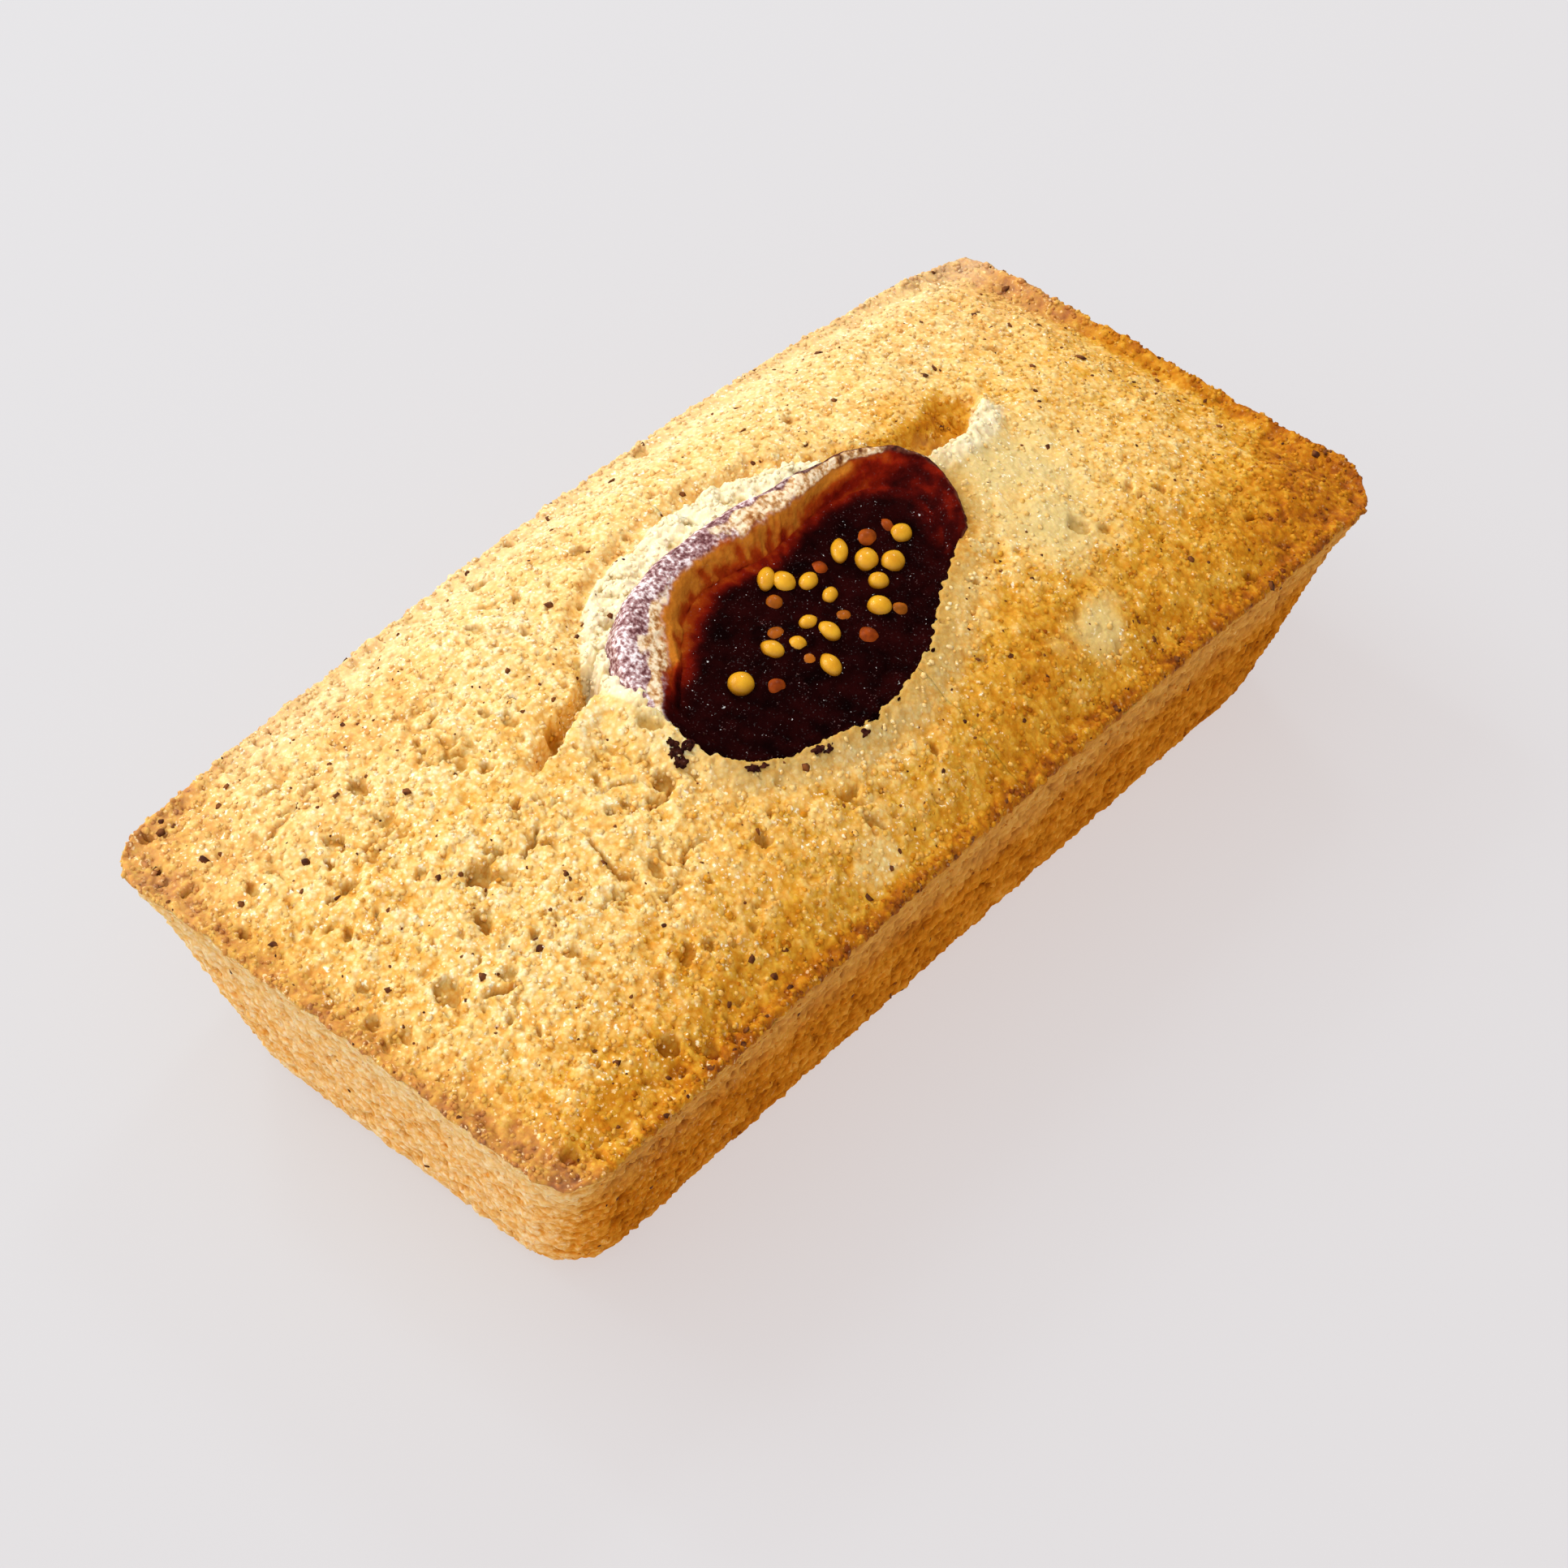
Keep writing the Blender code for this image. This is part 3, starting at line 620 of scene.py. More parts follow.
def makeCrust(name, start, end):  # the part of the top between two shares of its length
    shape, u, v = gridSheet(crust["columns"], crust["rows"])
    u, v = (start + (end - start) * u) * 2.0 - 1.0, v * 2.0 - 1.0
    x, y = roundOff(u, v, halfX, halfY, byCorner(u, v, cake["rimCorners"]))
    fromEnd, fromSide = halfX * (1.0 - np.abs(u)), halfY * (1.0 - np.abs(v))
    edge = np.minimum(fromEnd, fromSide)
    inside = softStep(0.0, 1.2, edge)
    warpX = layered(x, y, 50.0, crust["warp"], x)
    warpY = layered(x, y, 52.0, crust["warp"], y)
    cracked, leftSlopeShade, paleLip = crackShape(warpX, warpY, crust["leftCrack"], 0.0, *crust["leftDeep"])
    split, rightSlopeShade, goldLip = crackShape(warpX, warpY, crust["rightCrack"], 1.0, *crust["rightDeep"])
    height = topForm(x, y) + cracked + split

    outside, angle = aroundFig(x, y)
    degrees = np.degrees(angle) % 360.0
    ragged = layered(x, y, 3.0, ((0.5, 2.5), (0.3, 0.8)))
    ring = np.interp(degrees, *zip(*crust["tornRing"]))
    beyond = outside - ring - 1.2 * ragged * softStep(0.2, 1.6, ring)  # how far outside the torn ring
    torn = softStep(0.1, 0.6, ring) * softStep(0.1, -0.3, beyond)
    slopeDown = (1.0 - softStep(0.0, 1.6, beyond)) * (beyond > 0.0)
    slopeUp = (1.0 - softStep(0.0, 0.5, -beyond)) * (beyond <= 0.0)
    grooved = softStep(0.2, 0.7, ring) * (slopeDown + slopeUp) * (0.65 + 0.6 * lumps(x, y, 14.0, 2.2))
    height = height - crust["groove"] * grooved
    front = softStep(162.0, 176.0, degrees) * softStep(342.0, 325.0, degrees)
    lapped = fleshHeight(x, y) + 0.15 + fig["rise"] * raisedSkin(angle)
    height = height + (lapped - height) * front * (1.0 - softStep(-0.2, 2.2, outside))

    batter = batterZones(x, y) * (1.0 - torn)
    batter = np.maximum(batter, 0.35 * front * (1.0 - softStep(0.2, 2.2, outside + ragged)))
    paleFlake = ovalShare(x, y, *crust["paleFlake"])  # almond flakes that lie flush in the crust
    amberFlake = ovalShare(x, y, *crust["amberFlake"])
    calm = 1.0 - np.maximum(0.5 * batter, 0.85 * np.maximum(paleFlake, amberFlake))
    left = softStep(14.0, -22.0, x)
    before = height.copy()
    grainNear = cellGaps(warpX, warpY, 3.0, crust["grain"])[0]
    loose = 0.9 * lumps(x, y, 55.0, 2.2)
    clumpGap = cellGaps(warpX + loose, warpY - loose, 6.0, crust["clump"])[1]
    crumb = layered(x, y, 60.0, crust["relief"]) + crust["grainDent"] * (0.5 - grainNear)
    peaks = np.clip(crumb / 0.15, -1.0, 1.0)
    rougher = np.maximum(torn, 0.7 * goldLip)
    crumb = crumb * (0.85 + 0.25 * left + rougher)
    middle = hump(x, y, -26.0, -3.0, 10.0, 9.0)  # the crumbliest part
    clumpy = softStep(0.0, 0.45, lumps(x, y, 80.0, 5.0) + 0.35 * left + 0.2 * middle - 0.25)
    clumpy = np.maximum(clumpy, 0.8 * rougher) * inside * (1.0 - 0.7 * paleLip)
    broken = softStep(-0.05, 0.35, lumps(x, y, 85.0, 2.0))  # the gaps between clumps don't join up
    gaps = crust["wideGap"] * (1.0 - softStep(0.0, 0.6, clumpGap))
    gaps = gaps + crust["narrowGap"] * broken * (1.0 - softStep(0.0, 0.16, clumpGap))
    height = dugOut(x, y, warpX, warpY, height + (crumb - clumpy * gaps) * calm, calm)
    # Painted shade: the deeper the crumb is dug out, the darker it is painted.
    hollow = np.clip((before - height) / 0.32 - 0.35, 0.0, 1.0)
    # Painted shade on the crumb along the fig's front edge, added to the same mask as the painted shade in
    # the hollows.
    frontShadeArc = np.maximum(softStep(188.0, 205.0, degrees), softStep(20.0, 5.0, degrees))
    shadeNearFig = 0.65 * softStep(3.4, 0.6, outside + 0.8 * ragged) + 0.35 * softStep(1.2, 0.0, outside)
    hollow = np.maximum(hollow, frontShadeArc * shadeNearFig)

    covered = np.interp(degrees, *zip(*crust["figCovered"])) + 0.25 * lumps(x, y, 6.0, 0.5)
    under = softStep(0.0, -1.0, outside + covered + 0.5 * ragged)  # the crumb goes down under the fig
    curl = crust["rimCurl"]
    bent = np.clip(1.0 - edge / curl, 0.0, 1.0)
    height = height - crust["underFig"] * under - curl * (1.0 - np.sqrt(1.0 - bent**2))
    roughRim = layered(x, y, 70.0, crust["roughRim"]) * (1.0 - inside)
    atEnd = fromEnd < fromSide
    placeVerts(shape, x + np.sign(x) * roughRim * atEnd, y + np.sign(y) * roughRim * ~atEnd, height)

    # The crumb's peaks are painted paler and its low spots darker: painted light and shade on the relief.
    toast = toastTop(x, y) * (1.0 - 0.6 * batter) - 0.14 * peaks * calm
    toast = toast * (1.0 - 0.6 * front * (1.0 - softStep(0.5, 3.8, outside)))
    # The cracks' far slopes are painted darker, painted shade; their lips paler, partly the risen crumb's
    # own colour and partly painted highlight.
    toast = toast * (1.0 - 0.5 * paleLip - 0.6 * goldLip) + 0.40 * rightSlopeShade + 0.15 * leftSlopeShade
    # Painted shade on the outer slope of the groove round the torn ring.
    toast = toast + 0.05 * np.clip(grooved, 0.0, 1.0) * (beyond > 0.0)
    toast = toast * (1.0 - torn)
    toast = toast + (0.27 - toast) * paleFlake + (0.64 - toast) * amberFlake
    peachy = softStep(14.0, 3.0, np.hypot(halfX + x, halfY - y))
    peachy = np.maximum(peachy, softStep(4.0, 1.0, halfX + x + ragged)) * (1.0 - amberFlake)
    backward = 0.15 * softStep(4.0, 13.0, y) + 0.22 * softStep(14.0, 17.0, y) * softStep(-36.0, -30.0, x)
    backward = backward * (1.0 - np.clip(1.5 * rightSlopeShade, 0.0, 1.0))
    # creamy also pales the right crack's lip, partly its own colour and partly painted highlight.
    creamy = np.maximum(np.maximum(0.10 * peachy, backward), 0.8 * softStep(0.4, 0.9, goldLip))
    pale = np.maximum(torn, creamy)
    storeValues(shape, {"toast": toast + 0.10 * peachy, "hollow": hollow, "batter": batter, "torn": pale})
    skirt, sheetFaces = crust["skirt"], len(shape.faces)
    rimEdges = [item for item in shape.edges if item.is_boundary]
    drawn = bmesh.ops.extrude_edge_only(shape, edges=rimEdges)["geom"]
    for vert in drawn:
        if isinstance(vert, bmesh.types.BMVert):
            tuckedX, tuckedY = vert.co.x * (1.0 - skirt / halfX), vert.co.y * (1.0 - skirt / halfY)
            vert.co = (tuckedX, tuckedY, vert.co.z - skirt)
    bmesh.ops.contextual_create(shape, geom=[item for item in shape.edges if item.is_boundary])
    shape.edges.index_update()
    shape.faces.index_update()  # the skirt's faces come in any order, and the grains are picked by face
    shape.faces.sort(key=lambda face: face.index if face.index < sheetFaces
                     else sheetFaces + min(edge.index for edge in face.edges))
    return makePiece(name, shape, crustPaint)


crustLeft = makeCrust("crustLeft", 0.0, 0.5)
crustRight = makeCrust("crustRight", 0.5, 1.0)
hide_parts("cake")
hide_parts("cake")


# moulded walls and base

walls = {
    "columns": 1160,
    "tuck": 0.15,
    "drop": 0.4,
    "wallRows": 64,
    "roundRows": 7,
    "grain": 0.5,
    "grainDent": 0.31,
    "poreDepth": 0.25,
}


def rimPoints(columns):  # the unit square's edge, walked round in even steps
    lengths = np.cumsum([0.0, 2 * halfX, 2 * halfY, 2 * halfX, 2 * halfY])
    walked = columns * lengths[-1]
    u = np.interp(walked, lengths, (-1.0, 1.0, 1.0, -1.0, -1.0))
    v = np.interp(walked, lengths, (-1.0, -1.0, 1.0, 1.0, -1.0))
    return u, v


def makeWalls():
    rows = [(0.9, 0.0, 0.1), (0.9, 0.0, 0.9)]  # height share, extra inset, share of the outline
    wallRows, roundShare = walls["wallRows"], cake["baseRound"] / cake["rimHeight"]
    rows += [(1.0 - step / wallRows * (1.0 - roundShare), 0.0, 1.0) for step in range(wallRows + 1)]
    for step in range(1, walls["roundRows"] + 1):
        turned = math.radians(90.0 * step / walls["roundRows"])
        inward = cake["baseRound"] * (1.0 - math.cos(turned))
        rows.append((roundShare * (1.0 - math.sin(turned)), inward, 1.0))
    rows += [(0.0, cake["baseRound"], share) for share in (0.97, 0.9, 0.75, 0.5, 0.25, 0.0)]
    shape, column, row = gridSheet(walls["columns"], len(rows) - 1)
    index = np.rint(row * (len(rows) - 1)).astype(int)
    level, inset, share = np.array(rows).T[:, index]
    u, v = rimPoints(column)
    inset = inset + cake["wallHollow"] * level * softStep(0.0, cake["hollowPlace"], 1.0 - level)
    inset = inset + walls["tuck"] * softStep(0.9, 1.0, level)
    spanX, spanY = [(base / 2 + (rim - base / 2) * level) - inset
                    for base, rim in ((cake["baseLength"], halfX), (cake["baseWidth"], halfY))]
    baseCorner = byCorner(u, v, cake["baseCorners"])
    corner = baseCorner + (byCorner(u, v, cake["rimCorners"]) - baseCorner) * level - inset
    x, y = roundOff(u, v, spanX, spanY, np.maximum(corner, 0.5))
    rimX, rimY = roundOff(u, v, halfX, halfY, byCorner(u, v, cake["rimCorners"]))
    z = (topForm(rimX, rimY) - walls["drop"]) * level
    x, y = x * share, y * share
    belly = 4.0 * level * (1.0 - level)
    relief = 0.09 * lumps(x, y, z * 1.8, 1.8) + 0.15 * lumps(x, y, z * 1.3 + 30.0, 0.7)
    relief = relief + walls["grainDent"] * (0.5 - cellGaps(x, y, z * 0.7, walls["grain"])[0])
    relief = relief - walls["poreDepth"] * softStep(0.45, 0.65, lumps(x, y, z + 50.0, 0.7))
    shown = softStep(0.0, 0.4, z) * (share == 1.0)
    push = belly * 0.16 * lumps(x, y, z, 7.0) + relief * shown
    roundX = np.maximum(np.abs(x) - spanX + corner, 0.0) * np.sign(x) + 1e-6 * x
    roundY = np.maximum(np.abs(y) - spanY + corner, 0.0) * np.sign(y) + 1e-6 * y
    reach = np.maximum(np.hypot(roundX, roundY), 1e-9)
    outX, outY = roundX / reach, roundY / reach
    placeVerts(shape, x + outX * push, y + outY * push, z)
    ragged = lumps(x, y, z, 3.0) + 0.5 * lumps(x, y, z, 1.2)
    beige = softStep(8.5, 13.5, z + 1.2 * lumps(x, y, z + 80.0, 3.0))
    # Painted light and shade, partly browning: walls facing the back and left, where the light comes from,
    # are painted paler, those facing the front and right darker; raised relief is painted paler.
    toast = 0.54 + 0.35 * outX - 0.18 * outY - 0.08 * beige + 0.09 * ragged
    toast = toast - 0.15 * np.clip(relief / 0.18, -1.0, 1.0)
    # Painted shade in the wall's dents.
    hollow = np.clip(-relief * shown / 0.28, 0.0, 1.0)
    storeValues(shape, {"toast": toast, "hollow": hollow, "batter": 0.25 * beige, "torn": 0.0 * x})
    return makePiece("cakeWalls", shape, wallPaint)


cakeWalls = makeWalls()
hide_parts("cake")


# fig half

figMesh = {
    "columns": 460,
    "bellyRows": 3,
    "sideRows": 12,
    "rollRows": 9,
    "fleshRows": 62,
    "belly": ((0.0, 0.0), (0.40, 0.25), (0.68, 1.15), (0.88, 2.9), (0.98, 5.2)),  # share of reach, height
    "skinLimits": (  # degrees round the fig from its right end, and the row where its skin ends
        (-60.0, 4.8), (-42.0, 5.6), (-25.0, 6.3), (5.0, 6.9), (22.0, 8.0), (36.0, 9.0), (120.0, 9.0),
        (150.0, 8.8), (171.0, 8.6), (178.0, 8.0), (184.0, 6.4), (190.0, 4.8),
    ),
    "widerRoll": (  # the rolled skin is broadest at the left end
        (115, 0.0), (133, 0.2), (152, 1.1), (163, 1.9), (170, 2.0), (176, 1.2), (182, 0.1), (190, 0.0),
    ),
    "frost": (
        (8.0, 0.0), (26.0, 1.0), (85.0, 1.05), (100.0, 0.25), (134.0, 0.15), (148.0, 1.0), (190.0, 1.1),
    ),
    "grain": 0.55,
    "dimple": 0.22,  # how the flesh swells round each seed
}


def figRows(angle):  # control rows from under the belly to the middle of the flesh
    reach, skin = figReach(angle), raisedSkin(angle)
    degrees = np.degrees(angle) % 360.0
    wider = np.interp(degrees, *zip(*figMesh["widerRoll"]))
    opened = softStep(48.0, 14.0, np.where(degrees > 270.0, degrees - 360.0, degrees))  # the right end
    face = fig["flesh"] + fig["tilt"] * (fig["centre"][1] + reach * np.sin(angle))
    crest = face + fig["rise"] * skin
    fall = opened * fig["rise"] * skin
    rows = [(reach * share, fig["bottom"] + lift + 0.0 * angle) for share, lift in figMesh["belly"]]
    rows.append((reach, fig["waist"] + 0.0 * angle))
    halfWay = 0.5 * (fig["rollInset"] + fig["footInset"])
    rolled = (  # inset with no skin, inset that the skin adds, how much wider, level
        (0.12, 0.28 - 0.2 * opened, 0.0, crest - 0.12 - (0.9 - 0.5 * opened) * skin),
        (0.35, fig["crestInset"] - 0.35 - 0.4 * opened, 0.0, crest),
        (0.60, fig["rollInset"] - 1.5 - 0.7 * opened, 0.7, crest - 0.1 * wider - 0.15 * fall),
        (0.80, fig["rollInset"] - 0.8 - 0.9 * opened, 1.0, crest - 0.3 * skin - 0.2 * wider - 0.2 * fall),
        (1.00, halfWay - 1.0 - 0.6 * opened, 1.0, crest - 1.1 * skin),
    )
    rows += [(reach - (inset + added * skin + width * wider), level)
             for inset, added, width, level in rolled]
    foot = reach - 1.3 - (fig["footInset"] - 1.3) * skin - 0.9 * wider
    rows.append((foot, face - fig["tilt"] * 1.3))
    return rows, foot


seedRule = {
    "golden": (  # place along and across, half length, half width, turn in degrees
        (-9.1, -2.8, 0.95, 0.85, 20), (-5.5, -2.3, 0.85, 0.65, 95), (-4.0, -3.1, 0.65, 0.60, 30),
        (-1.9, -2.3, 0.70, 0.55, -10), (-1.6, -3.7, 0.90, 0.65, 80), (-3.8, -5.6, 1.00, 0.65, 65),
        (2.5, -4.5, 0.90, 0.80, 60), (1.0, -1.7, 0.75, 0.50, 25), (0.9, 0.0, 0.90, 0.60, 15),
        (-0.3, 1.1, 0.95, 0.80, 60), (-0.9, 2.0, 1.10, 0.60, 35), (4.5, 0.4, 1.15, 0.58, 40),
        (5.2, -1.3, 1.05, 0.78, 35), (6.3, -2.6, 0.98, 0.78, 20), (4.2, -3.1, 0.72, 0.68, 10),
        (8.8, -1.3, 0.88, 0.72, 15),
    ),
    "sunken": (
        (0.0, -5.6, 0.80, 0.65, 70), (6.9, 0.0, 0.85, 0.70, 15), (-7.6, -4.4, 0.70, 0.60, 0),
        (-2.0, 0.4, 0.70, 0.60, 40), (-4.1, -1.5, 0.7, 0.6, 20), (8.6, -0.2, 0.7, 0.55, 60),
        (0.1, -3.5, 0.7, 0.55, 10), (2.3, 0.3, 0.7, 0.6, 30), (3.3, -5.5, 0.7, 0.6, 0),
        (-4.3, -4.3, 0.75, 0.6, 50),
    ),
    "rise": 0.05,
    "sink": -0.35,
    "flatness": 0.78,
}


def figPaintMaker():
    paint = Paint("bakedFig", 0.3, Subsurface_Weight=0.05, Subsurface_Scale=0.0012,
                  Subsurface_Radius=(1.0, 0.12, 0.05), Specular_IOR_Level=0.0, Coat_Roughness=0.08)
    keys = ("skin", "inner", "frost", "bright", "sheen")
    skin, inner, frost, bright, sheen = [paint.stored(key) for key in keys]
    fleck = paint.grain(0.30, 3.0)
    lump = paint.grain(0.65, 3.0, 2.0)
    patch = paint.grain(1.6, 3.0, 3.0)
    bare = paint.ramp(fleck + (patch - 0.5) * 0.3, (
        (0.40, (0.045, 0.012, 0.010)), (0.60, (0.14, 0.040, 0.022))))
    # Painted highlights: on the skin's left part the pale flecks stand in for reflections on the glossy
    # skin; the same mask also raises the coat.
    skinPaintedGlints = paint.ramp(fleck + (patch - 0.5) * 0.5, (
        (0.36, (0.12, 0.035, 0.038)), (0.46, (0.28, 0.13, 0.13)), (0.54, (0.50, 0.33, 0.33)),
        (0.66, (0.92, 0.82, 0.82))))
    skinColour = paint.mix(sheen, bare, skinPaintedGlints)
    frosted = paint.ramp(lump * 0.5 + fleck * 0.5, (
        (0.38, (0.30, 0.10, 0.022)), (0.47, (0.62, 0.34, 0.14)), (0.56, (0.95, 0.76, 0.51))))
    skinColour = paint.mix((frost + (lump - 0.5) * 1.2).between(0.25, 0.7), skinColour, frosted)
    fleshColour = paint.ramp(patch, ((0.35, (0.004, 0.0008, 0.0009)), (0.70, (0.017, 0.0018, 0.0018))))
    # Painted glints on the flesh: small pale dots in the base colour.
    fleshPaintedGlints = paint.grain(0.16, 1.0, 17.0).between(0.66, 0.73) * paint.grain(1.5, 1.0, 8.0).between(0.46, 0.62)
    fleshColour = paint.mix(fleshPaintedGlints * 0.35, fleshColour, (0.30, 0.17, 0.16))
    wallColour = paint.ramp(bright + (lump - 0.5) * 0.5, (
        (0.05, (0.010, 0.0020, 0.0020)), (0.30, (0.06, 0.0030, 0.0022)), (0.55, (0.20, 0.0090, 0.0028)),
        (0.78, (0.36, 0.045, 0.0045)), (1.0, (0.56, 0.18, 0.018))))
    colour = paint.mix(skin, paint.mix(inner, fleshColour, wallColour), skinColour)
    normal = paint.bump(fleck, 0.5, 0.08, paint.bump(paint.cells(0.3), 0.5, 0.1))
    rough = 0.3 + paint.grain(0.6, 2.0, 7.0).between(0.4, 0.65) * 0.25
    glint = paint.grain(0.16, 1.0, 13.0).between(0.65, 0.70)
    wet = skin * sheen * 0.3 + glint * 0.6
    return paint.finish(Base_Color=colour, Roughness=rough, Normal=normal, Coat_Weight=wet)


figPaint = figPaintMaker()


def makeFig():
    angles = np.linspace(0.0, math.tau, figMesh["columns"] + 1)
    controls, foot = figRows(angles)
    radii = np.array([row[0] for row in controls])
    levels = np.array([row[1] for row in controls])
    steps = []
    counts = [figMesh["bellyRows"]] * 4 + [4] + [figMesh["sideRows"]] + [figMesh["rollRows"]] * 5
    for index, count in enumerate(counts):
        steps += [index + part / count for part in range(count)]
    steps.append(float(len(counts)))
    steps = np.array(steps)
    lower = np.minimum(steps.astype(int), len(counts) - 1)
    t = (steps - lower)[:, None]

    def drawn(values):
        padded = np.vstack([values[:1], values, values[-1:]])
        a, b, c, d = (padded[lower + shift] for shift in range(4))
        bend = (a * 2.0 - b * 5.0 + c * 4.0 - d) * t * t
        twist = (b * 3.0 - a - c * 3.0 + d) * t**3
        return (b * 2.0 + (c - a) * t + bend + twist) * 0.5

    radius, level = drawn(radii), drawn(levels)
    fleshShare = np.linspace(1.0, 0.0, figMesh["fleshRows"] + 1)[1:, None]
    radius = np.vstack([radius, fleshShare * foot[None, :]])
    x = fig["centre"][0] + radius * np.cos(angles)
    y = fig["centre"][1] + radius * np.sin(angles)
    fleshX, fleshY = x[len(steps):], y[len(steps):]
    z = np.vstack([level, fleshHeight(fleshX, fleshY)])
    blendIn = softStep(0.0, 8.0, np.arange(len(fleshShare)))[:, None]
    z[len(steps):] = z[len(steps):] * blendIn + level[-1] * (1.0 - blendIn)
    rows = np.stack([x, y, z], axis=-1)
    normal = outward(rows)
    step = np.concatenate([steps, np.full(len(fleshShare), len(counts) + 1.0)])[:, None] + 0.0 * x
    isFlesh = softStep(8.4, 10.8, step)
    degrees = np.degrees(angles)
    fromRight = np.where(degrees > 270.0, degrees - 360.0, degrees)
    limit = np.interp(fromRight, *zip(*figMesh["skinLimits"]))
    raggedStep = step + 0.35 * lumps(x, y, z, 1.1) + 0.2 * lumps(x, y, z, 0.4)
    isSkin = 1.0 - softStep(limit - 0.3, limit + 0.3, raggedStep)
    shown = softStep(4.6, 5.4, step)
    dents = 0.5 - cellGaps(x, y, z, figMesh["grain"])[0]
    slant = (x + y) * 0.7, (y - x) * 0.35
    wrinkle = 0.16 * lumps(x, y, z * 0.5, 2.4) + 0.14 * np.abs(lumps(*slant, z, 0.7)) + 0.06 * dents
    mushy = 0.14 * lumps(x, y, z, 0.9) + 0.10 * dents
    for seed in seedRule["golden"] + seedRule["sunken"]:
        away = np.hypot(x - seed[0], y - seed[1])
        mushy = mushy + figMesh["dimple"] * np.exp(-((away / 1.1) ** 2)) * (step > 9.0)
    folds = 0.20 * np.abs(lumps(fromRight[None, :] * 0.16 + 0.0 * x, step * 0.5, 0.0 * x, 1.0))
    standing = raisedSkin(angles)[None, :] + 0.0 * x
    onWall = softStep(8.6, 9.6, step) * softStep(12.0, 11.0, step) * standing
    relief = shown * (wrinkle * (1.0 - isFlesh) + mushy * isFlesh + folds * onWall)
    centreCalm = softStep(0.0, 0.4, radius)
    rows = rows + normal * (relief * centreCalm)[:, :, None]

    shape, column, row = gridSheet(figMesh["columns"], len(rows) - 1)
    c = np.rint(column * figMesh["columns"]).astype(int)
    r = np.rint(row * (len(rows) - 1)).astype(int)
    placeVerts(shape, *rows[r, c].T)
    beyond = np.maximum(foot[None, :] - radius, 0.0)  # how far onto the flesh
    streaks = lumps(fromRight[None, :] * 0.14 + 0.0 * x, step * 0.6, 0.0 * x + 5.0, 1.0)
    ends = softStep(-30.0, 10.0, fromRight) * softStep(186.0, 172.0, fromRight)
    nearFoot = softStep(2.8, 0.0, beyond + 1.1 * lumps(x, y, 8.0, 1.6))
    inner = softStep(limit - 1.4, limit - 0.8, step) * nearFoot * ends
    glow = softStep(8.0, 34.0, fromRight) * softStep(182.0, 164.0, fromRight)
    lift = softStep(limit + 2.4, limit + 0.4, step)  # the wall's upper part
    amber = 0.16 * softStep(122.0, 138.0, fromRight) * softStep(176.0, 164.0, fromRight)
    bright = 0.28 + amber + 0.35 * glow + (0.12 + 0.23 * glow) * lift + 0.30 * streaks
    bright = bright * softStep(2.6, 0.0, beyond)
    frosted = np.interp(fromRight, *zip(*figMesh["frost"])) + 0.5 * lumps(x, y, z, 1.8) - 0.1
    reach = 1.2 + 0.7 * softStep(110.0, 90.0, fromRight)
    frosted = frosted * softStep(limit - reach, limit - reach + 0.7, step + 0.5 * lumps(x, y, z, 1.2))
    # Where the skin gets painted highlights and a glossier coat.
    sheen = softStep(30.0, 70.0, fromRight) + 0.0 * step
    values = {"skin": isSkin, "inner": inner, "bright": bright, "frost": frosted * isSkin, "sheen": sheen}
    storeValues(shape, {key: numbers[r, c] for key, numbers in values.items()})
    return makePiece("figHalf", shape, figPaint)


figHalf = makeFig()
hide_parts("fig_half")


# fig seeds

def seedPaintMaker():
    paint = Paint("figSeed", 0.3, Subsurface_Weight=0.08, Subsurface_Scale=0.0005,
                  Subsurface_Radius=(1.0, 0.4, 0.1), Specular_IOR_Level=0.04, Coat_Roughness=0.1)
    dull, tip, low = [paint.stored(key) for key in ("dull", "tip", "low")]
    cloud = paint.grain(0.7, 2.0)
    golden = paint.ramp(cloud, ((0.3, (0.58, 0.25, 0.005)), (0.7, (0.72, 0.37, 0.014))))
    golden = paint.mix(tip * 0.6, golden, (0.24, 0.065, 0.004))
    # Painted shade: the seed's lower part is darker.
    golden = paint.mix(low, golden, (0.20, 0.058, 0.003))
    brown = paint.ramp(cloud, ((0.3, (0.13, 0.017, 0.002)), (0.7, (0.36, 0.060, 0.004))))
    colour = paint.mix(dull, golden, brown)
    normal = paint.bump(paint.grain(0.25, 2.0, 2.0), 0.15, 0.05)
    return paint.finish(Base_Color=colour, Normal=normal, Coat_Weight=(1.0 - dull) * 0.3)


